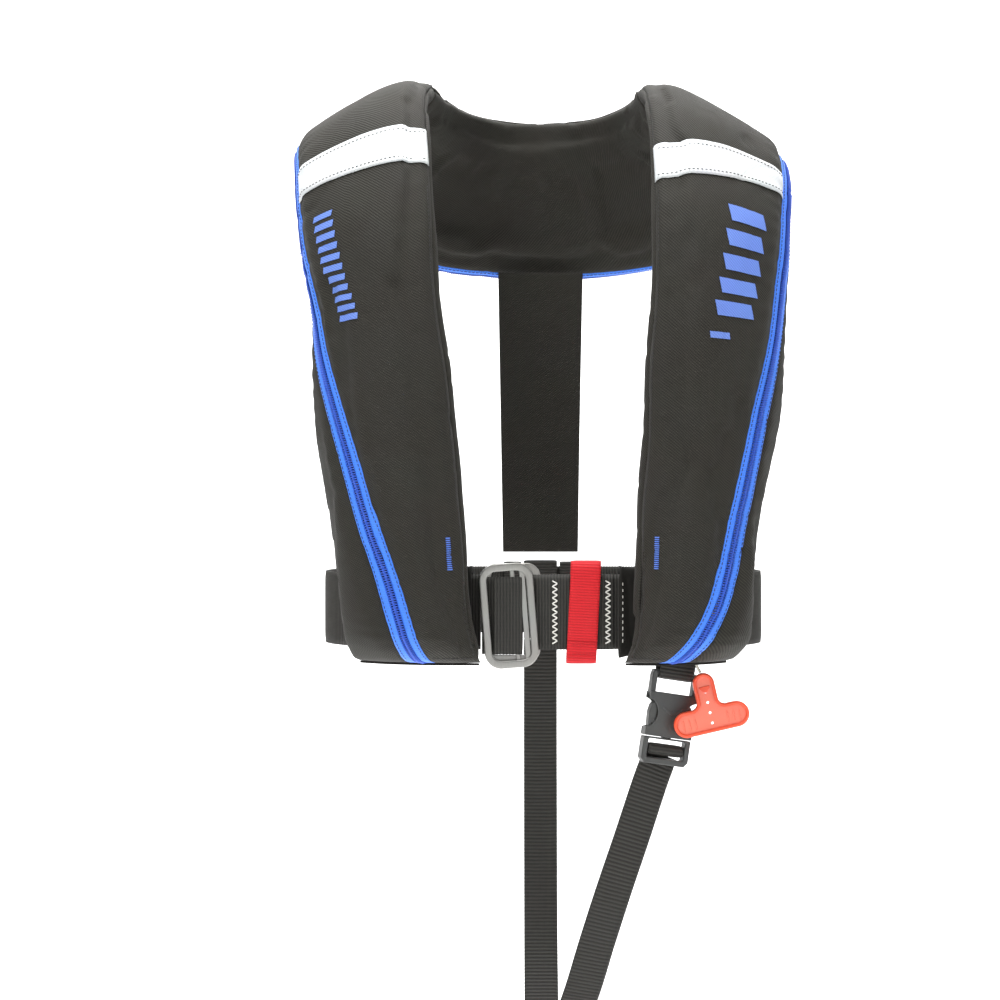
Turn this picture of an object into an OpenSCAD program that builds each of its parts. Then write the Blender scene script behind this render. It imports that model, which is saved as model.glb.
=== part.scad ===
// Automatic inflatable life jacket, packed in its cover and shaped as it is worn.
// Millimetres. +X is the wearer's left, -Y is the wearer's front and +Z is up.
// The origin is the middle of the neck opening, at the height of the shoulder tops.

/* [Cover] */
// Thickness of the cover's fabric with its lining
cover_wall = 2.4; // [2:0.1:2.6]
// Width of the zip over both of its tapes
zip_w = 17; // [15:0.5:18]
// Width of the zip's closed coil
coil_w = 5.6; // [5:0.1:6]
// Width of the shoulder harness webbing inside the cover
harness_w = 25; // [20:1:30]

/* [Waist belt] */
// Width of the belt webbing
belt_w = 50; // [46:1:52]
// Thickness of the belt webbing
belt_t = 2; // [1.6:0.1:2.2]
// Half of the breadth that the belt goes around
waist_x = 153; // [151:1:155]
// Half of the depth that the belt goes around
waist_y = 105; // [104:0.5:106]
// Width of the tether loop's webbing
loop_w = 20; // [16:1:24]
// Height of the tether loop
loop_h = 69; // [66:1:74]

/* [Steel buckle] */
// Outer width of the front frame
frame_w = 36; // [34:1:37]
// Outer height of the front frame
frame_h = 69.5; // [67:0.5:72]
// Width of the frames' steel, seen from the front
steel_w = 5; // [4.5:0.1:5.4]
// Thickness of the front frame's steel
steel_t = 3.6; // [3.2:0.1:3.8]

/* [Crotch strap] */
// Width of the crotch strap's webbing
strap_w = 25; // [22:1:26]
// Thickness of the crotch strap's webbing
strap_t = 1.8; // [1.4:0.1:1.9]
// Outer width of the side-release buckle
clip_w = 34; // [33:0.5:36]

/* [Inflator] */
// Diameter of the gas cylinder
gas_d = 30; // [26:1:30]
// Length of the gas cylinder's straight part
gas_len = 86; // [70:1:92]
// Diameter of the inflator's body
inflator_d = 26; // [22:1:28]

/* [Hidden] */

// Clear gap between neighbouring pieces
gap = 0.3;

// ---- Shape of the lobes and collar ----
// The U runs from the left lobe's hem (0) over the shoulder and round the neck (10) to the right
// lobe's hem (20). Each row gives the body-side corners of one cross-section, and its fullness:
// inner edge x, y, z, outer edge x, y, z, thickness, crown, and the zip's angle round the section.
STATIONS = [
    [47.5, -107, -402, 124, -76, -402, 34, 11, 101],
    [51, -107, -365, 127, -74, -365, 43, 10, 89],
    [52, -111, -300, 131.5, -72, -302, 44, 9, 76],
    [56, -116, -235, 145.5, -70, -238, 41, 9, 70],
    [60, -117, -168, 150, -68, -178, 37, 8, 49],
    [63.5, -106, -102, 156.5, -60, -126, 32, 6, 34],
    [63, -72, -43, 161.5, -38, -88, 28, 3, 26],
    [61, -18, -15, 159, 0, -74, 25, 1, 20],
    [54, 34, -16, 141, 56, -95, 26, 3, 8],
    [34, 66, -17, 94, 96, -122, 28, 6, 2],
    [0, 78, -16, 0, 112, -130, 28, 5, 0]];
// The right lobe hangs a little differently: added to inner x, outer x and outer z, and its zip angle
RIGHT_HANG = [[-9, 3, 0, 97], [-8, 0, 0, 95], [-5.5, 2.5, 0, 84], [-4, -2.5, 0, 69], [1, -5, 0, 41],
    [3.5, -1, 1, 12], [9, 2, 7, 5], [10, 6, 12, 0], [4, 4, 8, 0], [0, 0, 1, 0], [0, 0, 0, 0]];
MIDDLE = 10;
END = 2 * MIDDLE;
// Thickness of a lobe at its very end, and the length over which it fills out
end_t = 9;
end_len = 0.6;
// Squareness of the cross-section: 2 is an ellipse
squareness = 2.5;
// Sections that cut the cover's panels apart behind the shoulders
SEAM_L = 7.25;
SEAM_R = END - SEAM_L;
// Clear gap at those seams, as a share of the way from one section to the next
seam_gap = 0.01;

function unit(v) = v / norm(v);
function signed_power(x, p) = sign(x) * pow(abs(x), p);
function right_side(k) = let (r = STATIONS[k], h = RIGHT_HANG[k])
    [-r[0] - h[0], r[1], r[2], -r[3] - h[1], r[4], r[5] + h[2], r[6], r[7], h[3]];
function station(k) = k < 0 ? 2 * STATIONS[0] - STATIONS[1]
    : k <= MIDDLE ? STATIONS[k]
    : k <= END ? right_side(END - k)
    : 2 * right_side(0) - right_side(1);
function spline(a, b, c, d, t) = (2 * b + (c - a) * t + (2 * a - 5 * b + 4 * c - d) * t * t
    + (3 * b - a - 3 * c + d) * t * t * t) / 2;
function station_at(s) = let (k = max(0, min(END - 1, floor(s))))
    spline(station(k - 1), station(k), station(k + 1), station(k + 2), s - k);
function middle_at(s) = let (r = station_at(s)) [r[0] + r[3], r[1] + r[4], r[2] + r[5]] / 2;
function roundness(s) = let (d = max(0, min(s, END - s)) / end_len) d >= 1 ? 1 : sqrt(1 - pow(1 - d, 2));

// One cross-section: centre, across, outward, width, thickness, crown, [length, angle] table, zip
function section(s) = let (
        r = station_at(s),
        inner = [r[0], r[1], r[2]],
        outer = [r[3], r[4], r[5]],
        across = unit(outer - inner),
        along = unit(middle_at(s + 0.05) - middle_at(s - 0.05)),
        e = roundness(s),
        bare = [(inner + outer) / 2, across, unit(cross(across, along)),
            norm(outer - inner) * (0.94 + 0.06 * e), end_t + (r[6] - end_t) * e, r[7]],
        table = arc_table(bare))
    concat(bare, [table, lookup(r[8], [for (row = table) [row[1], row[0]]])]);
// Place on the section's outline at an angle, d inside it: across and outward distances
function outline(f, a, d) = [(f[3] / 2 - d) * signed_power(cos(a), 2 / squareness),
    f[4] / 2 + (f[4] / 2 - d) * signed_power(sin(a), 2 / squareness)];
function crowned(f, uv) = f[0] + f[1] * uv[0] + f[2] * (uv[1] + f[5] * (1 - pow(2 * uv[0] / f[3], 2)));
table_step = 7.5;
function arc_table(f) = [for (a = -180, far = 0; a <= 180;
    far = far + norm(outline(f, a + table_step, 0) - outline(f, a, 0)), a = a + table_step) [far, a]];
function girth(f) = f[6][len(f[6]) - 1][0];
// Place on the outline, q along it from the inner edge round the body side to the outer edge
function on_outline(f, q, d) = crowned(f, outline(f, lookup(q, f[6]), d));

// Sections used by every swept piece, so that stacked layers have the same facets
LOBE_END = [0, 0.04, 0.12, 0.25, 0.42, 0.65];
STEPS = concat(LOBE_END, [for (i = [4 : 4 * END - 4]) i / 4], [for (i = [5 : -1 : 0]) END - LOBE_END[i]]);
function steps_between(a, b) = [for (s = STEPS) if (s >= a - 0.001 && s <= b + 0.001) s];

// A closed solid through rings that all have the same, even number of points. Each end is closed by a
// row of quads between the ring's first half and its second half.
module skin(rings) {
    n = len(rings);
    m = len(rings[0]);
    last = (n - 1) * m;
    sides = [for (i = [0 : n - 2], j = [0 : m - 1]) each [
        [i * m + j, i * m + (j + 1) % m, (i + 1) * m + (j + 1) % m],
        [i * m + j, (i + 1) * m + (j + 1) % m, (i + 1) * m + j]]];
    first_end = [for (j = [0 : m / 2 - 2]) each [[j + 1, j, m - 1 - j], [j + 1, m - 1 - j, m - 2 - j]]];
    last_end = [for (j = [0 : m / 2 - 2]) each [
        [last + j, last + j + 1, last + m - 1 - j],
        [last + j + 1, last + m - 2 - j, last + m - 1 - j]]];
    polyhedron(points = [for (r = rings) each r], faces = concat(first_end, last_end, sides), convexity = 6);
}
// A strip of the lobe's skin between two places on the outline, from depth top to depth under
function strip_ring(f, q0, q1, n, top, under) = concat(
    [for (k = [0 : n]) on_outline(f, q0 + (q1 - q0) * k / n, top)],
    [for (k = [n : -1 : 0]) on_outline(f, q0 + (q1 - q0) * k / n, under)]);

PANEL_COLUMNS = 11;
module front_panel(a, b)
    skin([for (s = steps_between(a, b)) let (f = section(s))
        strip_ring(f, f[7] + zip_w / 2, girth(f) - gap / 2, PANEL_COLUMNS, 0, cover_wall)]);
module back_panel(a, b)
    skin([for (s = steps_between(a, b)) let (f = section(s))
        strip_ring(f, gap / 2, f[7] - zip_w / 2, PANEL_COLUMNS, 0, cover_wall)]);
// A strip beside the zip's centre line, from and to given distances from it
module zip_strip(from, to, top, under)
    skin([for (s = steps_between(0, END)) let (f = section(s))
        strip_ring(f, f[7] + from, f[7] + to, 2, top, under)]);

fabric = [0.17, 0.165, 0.16];
webbing = [0.12, 0.12, 0.11];

module cover_front_left() color(fabric) front_panel(0, SEAM_L);
module cover_front_right() color(fabric) front_panel(SEAM_R, END);
module cover_back_left() color(fabric) back_panel(0, SEAM_L);
module cover_back_right() color(fabric) back_panel(SEAM_R, END);
collar_steps = concat([SEAM_L + seam_gap], steps_between(SEAM_L + 0.2, SEAM_R - 0.2), [SEAM_R - seam_gap]);
module collar_outer() color(fabric)
    skin([for (s = collar_steps) let (f = section(s))
        strip_ring(f, f[7] + zip_w / 2, girth(f) - gap / 2, PANEL_COLUMNS, 0, cover_wall)]);
module collar_inner() color(fabric)
    skin([for (s = collar_steps) let (f = section(s))
        strip_ring(f, gap / 2, f[7] - zip_w / 2, PANEL_COLUMNS, 0, cover_wall)]);

// Hems are flat plates that close the lobes' ends; the left one has the hole that the pull cord leaves by
hem_t = 1.5;
hem_points = 28;
cord_exit = [100.5, -100.8, -403];
cord_hole_r = 2.2;
module hem_outline(f) polygon([for (k = [0 : hem_points - 1])
    let (uv = outline(f, 360 * k / hem_points, 0)) uv + [0, f[5] * (1 - pow(2 * uv[0] / f[3], 2))]]);
// Puts a drawing on a section's plane, the extrusion pointing to the wearer's left lobe's hem
module at_section(f) multmatrix([for (i = [0 : 2]) [f[1][i], f[2][i], cross(f[1], f[2])[i], f[0][i]]])
    children();
module hem_left() color(fabric) let (f = section(0), way = cord_exit - f[0])
    at_section(f) translate([0, 0, gap]) linear_extrude(hem_t) difference() {
        hem_outline(f);
        translate([way * f[1], way * f[2]]) circle(cord_hole_r, $fn = 24);
    }
module hem_right() color(fabric) let (f = section(END))
    at_section(f) translate([0, 0, -gap - hem_t]) linear_extrude(hem_t) hem_outline(f);

zip_blue = [0.25, 0.48, 0.86];
module zip_tape_outer() color(zip_blue) zip_strip(coil_w / 2 + gap / 2, zip_w / 2 - gap / 2, -0.3, 0.8);
module zip_tape_inner() color(zip_blue) zip_strip(gap / 2 - zip_w / 2, -coil_w / 2 - gap / 2, -0.3, 0.8);
module zip_coil() color([0.16, 0.32, 0.78]) zip_strip(-coil_w / 2 + gap / 2, coil_w / 2 - gap / 2, -1.2, 0.6);

// The slider is parked at the back of the collar, on the wearer's right
slider_place = section(11.25);
slider_on = on_outline(slider_place, slider_place[7], -1.6);
slider_run = unit(on_outline(section(11.5), section(11.5)[7], 0) - on_outline(section(11), section(11)[7], 0));
slider_out = unit(slider_place[1] - slider_run * (slider_place[1] * slider_run));
// Puts a piece on the slider's place: x across the zip, y along it, z out of the cover
module at_slider() multmatrix([
    for (i = [0 : 2]) [cross(slider_run, slider_out)[i], slider_run[i], slider_out[i], slider_on[i]]])
    children();
module zip_slider() color("silver") at_slider() {
    translate([-4, -5, 0]) cube([8, 10, 2.2]);
    translate([-1.2, -3.5, 2.2]) cube([2.4, 7, 1]);
}
module zip_pull() color(zip_blue) at_slider() translate([-2.2, -4, 3.4]) cube([4.4, 26, 1.4]);

// Reflective tapes cross the shoulders; each runs between two sections of its lobe
module reflective_tape(a, b) color([0.87, 0.89, 0.9])
    skin([for (s = concat([a], steps_between(a + 0.05, b - 0.05), [b])) let (f = section(s))
        strip_ring(f, f[7] + zip_w / 2, girth(f) - gap / 2, PANEL_COLUMNS, -1, -gap)]);
module reflective_tape_left() reflective_tape(5.33, 5.83);
module reflective_tape_right() reflective_tape(END - 5.89, END - 5.39);

// Short bars of dense stitching where the belt passes behind the lobes
tack_w = 2.6;
module tack(s, q_from_inner) let (f = section(s), g = section(s + 0.3))
    skin([for (h = [f, g]) let (q = girth(h) - q_from_inner) strip_ring(h, q, q + tack_w, 1, -1.1, -0.35)]);
module bar_tacks() color([0.35, 0.52, 0.86]) {
    tack(1.45, 15);
    tack(END - 1.75, 15);
}

// ---- Inside the cover ----
bladder_gap = 2.4;
// Outer edge of the folded bladder: clear of the lever's sweep, then of the hardware, then full width
function bladder_edge(s, full) = lookup(min(s, END - s), [[1.55, -30], [2.1, -9], [3.4, -9], [4.4, full]]);
function bladder_share(s) = lookup(min(s, END - s), [[1.55, 0.45], [2.1, 1]]);
module bladder() color("orange") {
    inset = cover_wall + bladder_gap;
    skin([for (s = concat([0.8, 1.2, 1.55, 1.9], [for (i = [5 : 2 * END - 5]) i / 2],
            [END - 1.9, END - 1.55, END - 1.2, END - 0.8])) let (
            f = section(s),
            low = -f[3] / 2 + inset + 3,
            high = bladder_edge(s, f[3] / 2 - inset - 3))
        [for (k = [0 : 15]) let (a = 22.5 * k)
            crowned(f, [(low + high) / 2 + (high - low) / 2 * signed_power(cos(a), 0.8),
                f[4] / 2 + 1 + (f[4] / 2 - inset - 2) * bladder_share(s) * signed_power(sin(a), 0.8)])]]);
}
module harness_webbing() color(webbing)
    skin([for (s = steps_between(1, END - 1)) let (
            f = section(s),
            q = lookup(-90, [for (row = f[6]) [row[1], row[0]]]))
        strip_ring(f, q - harness_w / 2, q + harness_w / 2, 4, cover_wall + gap, cover_wall + gap + 1.2)]);

// Gas cylinder and inflator stand on one line in the left lobe, neck down
gas_foot = [115.5, -112.5, -334];
gas_way = [13.5, 0.5, 118];
module on_line(point, way) translate(point)
    rotate([0, acos(way[2] / norm(way)), atan2(way[1], way[0])]) children();
neck_r = 6;
module gas_cylinder() color("silver") on_line(gas_foot, gas_way) rotate_extrude($fn = 48) {
    r = gas_d / 2;
    translate([0, 12]) square([r, gas_len]);
    intersection() {
        translate([0, 12 + gas_len]) circle(r);
        translate([0, 12 + gas_len - 1]) square([r, r + 1]);
    }
    intersection() {
        translate([0, 12]) circle(r);
        translate([0, -3]) square([r, 16]);
    }
    translate([0, -12]) square([neck_r, 14]);
}
module inflator_body() color([0.2, 0.2, 0.2]) on_line(gas_foot, gas_way) difference() {
    union() {
        translate([0, 0, -26]) cylinder(d = inflator_d, h = 20, $fn = 48);
        translate([0, 0, -10]) cylinder(d = inflator_d + 4, h = 5.5, $fn = 48);
    }
    translate([0, 0, -16]) cylinder(r = neck_r + gap, h = 20, $fn = 48);
}
module inflator_flange() color([0.2, 0.2, 0.2]) let (f = section(1.1))
    multmatrix([for (i = [0 : 2]) [f[1][i], cross(f[2], f[1])[i], f[2][i],
        crowned(f, [13, 5])[i]]]) cylinder(r = 11, h = 1.8, $fn = 48);
module water_sensor_cap() color("gold") on_line(gas_foot, gas_way) difference() {
    translate([0, 0, -41]) cylinder(d = inflator_d - 2, h = 14.6, $fn = 48);
    for (i = [0 : 5]) rotate(60 * i) translate([inflator_d / 2 - 1, 0, -42]) cylinder(r = 2, h = 10, $fn = 24);
}
// The lever turns about a pin that points out of the lobe, on the inflator's inner side
lever_pin = [96.5, -118, -356];
lever_turn = 22.7;
module at_lever() translate(lever_pin) rotate([0, 0, lever_turn]) children();
lever_len = 20;
module inflator_lever() color([0.85, 0.2, 0.12]) at_lever() {
    rotate([90, 0, 0]) cylinder(r = 3.4, h = 5, center = true, $fn = 32);
    translate([-2.5, -2, 3]) cube([5, 4, lever_len]);
}

// The cord runs straight down through the hem for longer than its travel
CORD_ROUTE = [[98, -123, -337], [98, -123, -350], [97.5, -122, -359], [97, -117, -364.5],
    [97.5, -110, -368.5], [99.5, -103.5, -372.5], [100.5, -101, -377], [100.5, -100.8, -390],
    [100.5, -100.8, -402], [101.6, -101.2, -406], [103.2, -102.6, -409]];
cord_r = 1;
function way_at(route, k) = unit(route[min(len(route) - 1, k + 1)] - route[max(0, k - 1)]);
module pull_cord() color([0.9, 0.88, 0.82])
    skin([for (k = [0 : len(CORD_ROUTE) - 1]) let (
            t = way_at(CORD_ROUTE, k),
            u = unit(cross(t, [0, 1, 0])),
            v = cross(u, t))
        [for (i = [0 : 7]) CORD_ROUTE[k] + cord_r * (u * cos(45 * i) + v * sin(45 * i))]]);

// Pull handle: a T whose stem hangs from the cord; x across, z up from the stem's top, y its thickness
handle_top = [103.6, -103, -409.5];
handle_tilt = -13;
handle_t = 5.5;
stem_r = 7.2;
wing_r = 8.6;
wing_x = 17;
wing_z = -31.5;
module handle_outline(inset) {
    translate([0, -stem_r]) circle(stem_r - inset, $fn = 40);
    translate([inset - stem_r, wing_z]) square([2 * (stem_r - inset), -wing_z - stem_r]);
    translate([-wing_x, wing_z - wing_r + inset]) square([2 * wing_x, 2 * (wing_r - inset)]);
    for (x = [-wing_x, wing_x]) translate([x, wing_z]) circle(wing_r - inset, $fn = 40);
}
module pull_handle() color([0.9, 0.32, 0.2]) translate(handle_top) rotate([0, handle_tilt, 0]) difference() {
    rotate([90, 0, 0]) linear_extrude(handle_t, center = true) handle_outline(0);
    for (y = [-handle_t / 2 - 1, handle_t / 2 - 1.2]) translate([0, y + 2.2, 0]) rotate([90, 0, 0])
        linear_extrude(2.2) difference() {
            handle_outline(2.2);
            translate([-5, -7]) square([10, 8]);
        }
    translate([0, 0, -4]) cylinder(r = cord_r + gap, h = 12, center = true, $fn = 24);
    for (i = [1 : 4]) translate([0, 0, -6 - 8 * i]) rotate([90, 0, 0])
        cylinder(r = 1, h = 20, center = true, $fn = 24);
}

// Mouth tube and whistle stand in the right lobe
tube_foot = [-108, -114, -338];
tube_way = [-12, 1, 106];
tube_len = 92;
module oral_tube() color([0.15, 0.15, 0.15]) on_line(tube_foot, tube_way) difference() {
    union() {
        cylinder(r = 5, h = tube_len, $fn = 40);
        cylinder(r = 9, h = 3, $fn = 40);
        translate([0, 0, tube_len - 16]) cylinder(r = 6.4, h = 12, $fn = 40);
    }
    translate([0, 0, -1]) cylinder(r = 1.9, h = tube_len + 2, $fn = 40);
}
module oral_tube_cap() color([0.15, 0.15, 0.15]) on_line(tube_foot, tube_way) difference() {
    translate([0, 0, tube_len - 3.4]) cylinder(r = 7.4, h = 9, $fn = 40);
    translate([0, 0, tube_len - 4]) cylinder(r = 5 + gap, h = 4 + gap, $fn = 40);
}
whistle_at = [-129, -106, -308];
module whistle() color([0.95, 0.6, 0.1]) translate(whistle_at) difference() {
    union() {
        rotate([0, 90, 25]) cylinder(r = 8, h = 10, center = true, $fn = 40);
        rotate([0, 0, 25]) translate([-5, -4, 0]) cube([10, 8, 26]);
    }
    rotate([0, 0, 25]) translate([-3.4, -1.2, 9]) cube([6.8, 2.4, 20]);
}
// A collar round the tube with an arm to the whistle
clip_z = 46;
module whistle_clip() color([0.15, 0.15, 0.15]) on_line(tube_foot, tube_way) translate([0, 0, clip_z])
    linear_extrude(5) difference() {
        union() {
            circle(7.6, $fn = 40);
            rotate(-28) translate([6, -3]) square([4.4, 6]);
        }
        circle(5 + gap, $fn = 40);
    }

// ---- Waist belt ----
belt_z = -368.6;
belt_power = 2.4;
// Place on the belt's path: 0 at the front, turning towards the wearer's left; out is its offset
function waist_point(turn) = [waist_x * signed_power(sin(turn), 2 / belt_power),
    -waist_y * signed_power(cos(turn), 2 / belt_power)];
function waist_out(turn) = let (d = unit(waist_point(turn + 0.2) - waist_point(turn - 0.2))) [d[1], -d[0]];
function on_waist(turn, out) = waist_point(turn) + waist_out(turn) * out;
// Turn at which the front of the path has a given x
function turn_at(x) = asin(signed_power(x / waist_x, belt_power / 2));
module belt_part(x0, x1, inside, outside, n) let (a = turn_at(x0), b = turn_at(x1))
    polygon(concat([for (k = [0 : n]) on_waist(a + (b - a) * k / n, outside)],
        [for (k = [n : -1 : 0]) on_waist(a + (b - a) * k / n, inside)]));
module upright(h) translate([0, 0, belt_z - h / 2]) linear_extrude(h) children();

belt_end_left = 8;
belt_end_right = -43.2;
belt_pieces = 72;
module waist_belt() color(webbing) upright(belt_w) let (a = turn_at(belt_end_left),
        b = 360 + turn_at(belt_end_right))
    polygon(concat([for (k = [0 : belt_pieces]) on_waist(a + (b - a) * k / belt_pieces, belt_t / 2)],
        [for (k = [belt_pieces : -1 : 0]) on_waist(a + (b - a) * k / belt_pieces, -belt_t / 2)]));

// Rear frame: carried by a loop of webbing that is sewn over the belt's end
rear_x = -22.5;
rear_w = 38;
rear_h = 66;
rear_t = 3.2;
rear_bar_x = rear_x + rear_w / 2 - steel_w / 2;
fold_in = rear_t / 2 + 0.2;
fold_out = fold_in + belt_t;
loop_end = 44;
module belt_loop_fixed() color(webbing) upright(belt_w) {
    belt_part(rear_bar_x, loop_end, fold_in, fold_out, 10);
    belt_part(rear_bar_x, loop_end, -fold_out, -fold_in, 10);
    translate([rear_bar_x, -waist_y]) difference() {
        translate([-fold_out - 2, -fold_out]) square([fold_out + 2, 2 * fold_out]);
        translate([-fold_in - 2, -fold_in]) square([fold_in + 3, 2 * fold_in]);
    }
}
stitch_w = 3.4;
stitch_pitch = 1.9;
stitch_rows = [6, 41];
module zigzag(n, dz) let (line = [for (i = [0 : n]) [stitch_w * (i % 2 - 0.5), dz * (i - n / 2)]])
    polygon(concat([for (p = line) p + [-0.35, 0]], [for (i = [n : -1 : 0]) line[i] + [0.35, 0]]));
module belt_stitching() color("white") for (x = stitch_rows) let (p = on_waist(turn_at(x), fold_out + 0.1))
    translate([p[0], p[1], belt_z]) rotate([90, 0, atan2(waist_out(turn_at(x))[0], -waist_out(turn_at(x))[1])])
        linear_extrude(0.5) zigzag(22, stitch_pitch);

// Rounded rectangle in the frames' plane, made of exact arcs
module rounded(w, h, r) {
    square([w - 2 * r, h], center = true);
    square([w, h - 2 * r], center = true);
    for (x = [-1, 1], y = [-1, 1]) translate([x * (w / 2 - r), y * (h / 2 - r)]) circle(r, $fn = 48);
}
module ring_plate(w, h, t, r) rotate([90, 0, 0]) linear_extrude(t, center = true) difference() {
    rounded(w, h, r);
    rounded(w - 2 * steel_w, h - 2 * steel_w, r - steel_w * 0.6);
}
module buckle_frame_rear() color([0.62, 0.62, 0.6]) translate([rear_x, -waist_y, belt_z - 0.4])
    ring_plate(rear_w, rear_h, rear_t, 9);
front_x = -24.5;
front_y = -waist_y - 6.4;
front_z = belt_z - 2.2;
front_tilt = -4.5;
bar_x = 4.2;
bar_w = 3;
bar_t = 1.6;
module at_front_frame() translate([front_x, front_y, front_z]) rotate([0, front_tilt, 0]) children();
module buckle_frame_front() color([0.68, 0.68, 0.66]) at_front_frame() {
    ring_plate(frame_w, frame_h, steel_t, 11);
    translate([bar_x - bar_w / 2, 0.8, 2 - frame_h / 2]) cube([bar_w, bar_t, frame_h - 4]);
}
// The adjusting end of the belt folds round the front frame's cross-bar and leaves behind its side bar
adjust_t = 1.7;
module belt_loop_adjust() color(webbing) upright(belt_w) {
    lead = front_y + 0.8 - 0.2;
    back = lead + bar_t + 0.4;
    right = front_x + bar_x + bar_w / 2 + 2;
    left = front_x - frame_w / 2;
    polygon([[left, back + adjust_t], [right + adjust_t, back + adjust_t], [right + adjust_t, lead - adjust_t],
        [left + steel_w + 3, lead - adjust_t], [left + steel_w + 3, lead], [right, lead], [right, back],
        [left, back]]);
}

sleeve_from = 47;
sleeve_to = 66;
module belt_sleeve() upright(belt_w + 8) difference() {
    belt_part(sleeve_from, sleeve_to, -belt_t / 2 - 1.9, belt_t / 2 + 1.9, 4);
    belt_part(sleeve_from - 1, sleeve_to + 1, -belt_t / 2 - 0.5, belt_t / 2 + 0.5, 4);
}
module belt_sleeve_left() color(fabric) belt_sleeve();
module belt_sleeve_right() color(fabric) mirror([1, 0, 0]) belt_sleeve();

// Tether loop: a closed band of webbing round the belt, taller than the belt
loop_x = 25.2;
loop_wall = 1.8;
loop_half = fold_out + 0.9;
module flat_ring(w, half, inner_h, t) rotate([90, 0, 90]) linear_extrude(w, center = true) difference() {
    rounded(2 * (half + t), inner_h + 2 * t, half + t - 0.5);
    rounded(2 * half, inner_h, half - 0.6);
}
module tether_loop() color([0.86, 0.1, 0.16]) translate([loop_x, waist_point(turn_at(loop_x))[1], belt_z])
    flat_ring(loop_w, loop_half, loop_h - 2 * loop_wall, loop_wall);

// ---- Back ----
yoke_top = -118;
yoke_bottom = -338;
yoke_t = 2;
function yoke_y(z) = 104 + 8 * sin(180 * (z - yoke_top) / (yoke_bottom - yoke_top));
module back_yoke() color(fabric) let (zs = [for (i = [0 : 12]) yoke_top + (yoke_bottom - yoke_top) * i / 12])
    intersection() {
        rotate([90, 0, 90]) linear_extrude(200, center = true)
            polygon(concat([for (z = zs) [yoke_y(z), z]],
                [for (i = [12 : -1 : 0]) [yoke_y(zs[i]) - yoke_t, zs[i]]]));
        translate([0, 150, 0]) rotate([90, 0, 0]) linear_extrude(100)
            polygon([[-32, yoke_top + 5], [32, yoke_top + 5], [28, yoke_bottom - 5], [-28, yoke_bottom - 5]]);
    }
module yoke_loops() color(fabric) for (x = [-21, 21]) translate([x, 104.6, belt_z])
    flat_ring(13, belt_t / 2 + 1, belt_w + 4, 1.6);

// ---- Crotch strap ----
clip_at = [80.7, -95, -453.4];
clip_turn = 18;
clip_tilt = 9;
// Local axes of the side-release buckle: x across, -y its front, z up along the strap
module at_clip() translate(clip_at) rotate([0, 0, clip_turn]) rotate([0, clip_tilt, 0]) children();
clip_t = 8.4;
eye_z = 42.5;
eye_r = 2.2;
module crotch_hanger() color(webbing) let (low = eye_z, high = 113) at_clip()
    translate([0, 0.9, (low + high) / 2]) flat_ring(strap_w, 3.5, high - low + 6, strap_t - 0.2);
module crotch_buckle_female() color([0.29, 0.3, 0.29]) at_clip() difference() {
    union() {
        translate([-clip_w / 2, -clip_t / 2, gap / 2]) cube([clip_w, clip_t, 30]);
        for (x = [-clip_w / 2, clip_w / 2 - 4]) translate([x, -3, 30]) cube([4, 6, eye_z - 30]);
        translate([-clip_w / 2, 0, eye_z]) rotate([0, 90, 0]) cylinder(r = eye_r, h = clip_w, $fn = 32);
    }
    translate([1 - clip_w / 2, -2.9, -1]) cube([clip_w - 2, 5.8, 28]);
    for (x = [-clip_w / 2, clip_w / 2]) translate([x, 0, 15.5]) rotate([90, 0, 0])
        cylinder(r = 9.2, h = 20, center = true, $fn = 48);
}
turn_z = -8.1;
turn_r = 2.1;
module crotch_buckle_male() color([0.29, 0.3, 0.29]) at_clip() {
    difference() {
        translate([-clip_w / 2, -3.8, -18]) cube([clip_w, 7.6, 18 - gap / 2]);
        translate([-13.3, -10, -13.9]) cube([26.6, 20, 12.5]);
    }
    translate([-14, 0, turn_z]) rotate([0, 90, 0]) cylinder(r = turn_r, h = 28, $fn = 32);
    translate([-3, -2, -1]) cube([6, 4, 23]);
}
module prong(side) color([0.29, 0.3, 0.29]) at_clip() mirror([side < 0 ? 1 : 0, 0, 0])
    rotate([90, 0, 0]) linear_extrude(5, center = true) difference() {
        polygon([[9, 0.4], [13.5, 0.4], [15.2, 9], [15.6, 16], [14.5, 21.5], [12, 24], [10.2, 23.5],
            [9.6, 10]]);
        polygon([[10.6, 3], [12, 3], [12.6, 9], [12, 12], [11, 9]]);
    }
module crotch_prong_left() prong(1);
module crotch_prong_right() prong(-1);
module crotch_strap_turn() color(webbing) at_clip() translate([0, 0, turn_z]) rotate([0, 90, 0]) difference() {
    cylinder(r = turn_r + 2, h = strap_w, center = true, $fn = 40);
    cylinder(r = turn_r + gap, h = strap_w + 2, center = true, $fn = 40);
}
STRAP_ROUTE = [[77.4, -90.5, -464.5], [70, -92.5, -484], [58, -94, -520], [46, -92, -556], [35, -86, -592],
    [26, -75, -625], [17, -55, -655], [9, -30, -678], [3, 0, -690], [0, 30, -686], [0, 58, -664], [0, 80, -628],
    [0, 94, -580], [0, 102, -520], [0, 107, -460], [0, 108, -399]];
strap_last = len(STRAP_ROUTE) - 1;
function strap_knot(k) = k < 0 ? 2 * STRAP_ROUTE[0] - STRAP_ROUTE[1]
    : k > strap_last ? 2 * STRAP_ROUTE[strap_last] - STRAP_ROUTE[strap_last - 1] : STRAP_ROUTE[k];
function strap_at(s) = let (k = max(0, min(strap_last - 1, floor(s))))
    spline(strap_knot(k - 1), strap_knot(k), strap_knot(k + 1), strap_knot(k + 2), s - k);
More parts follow.
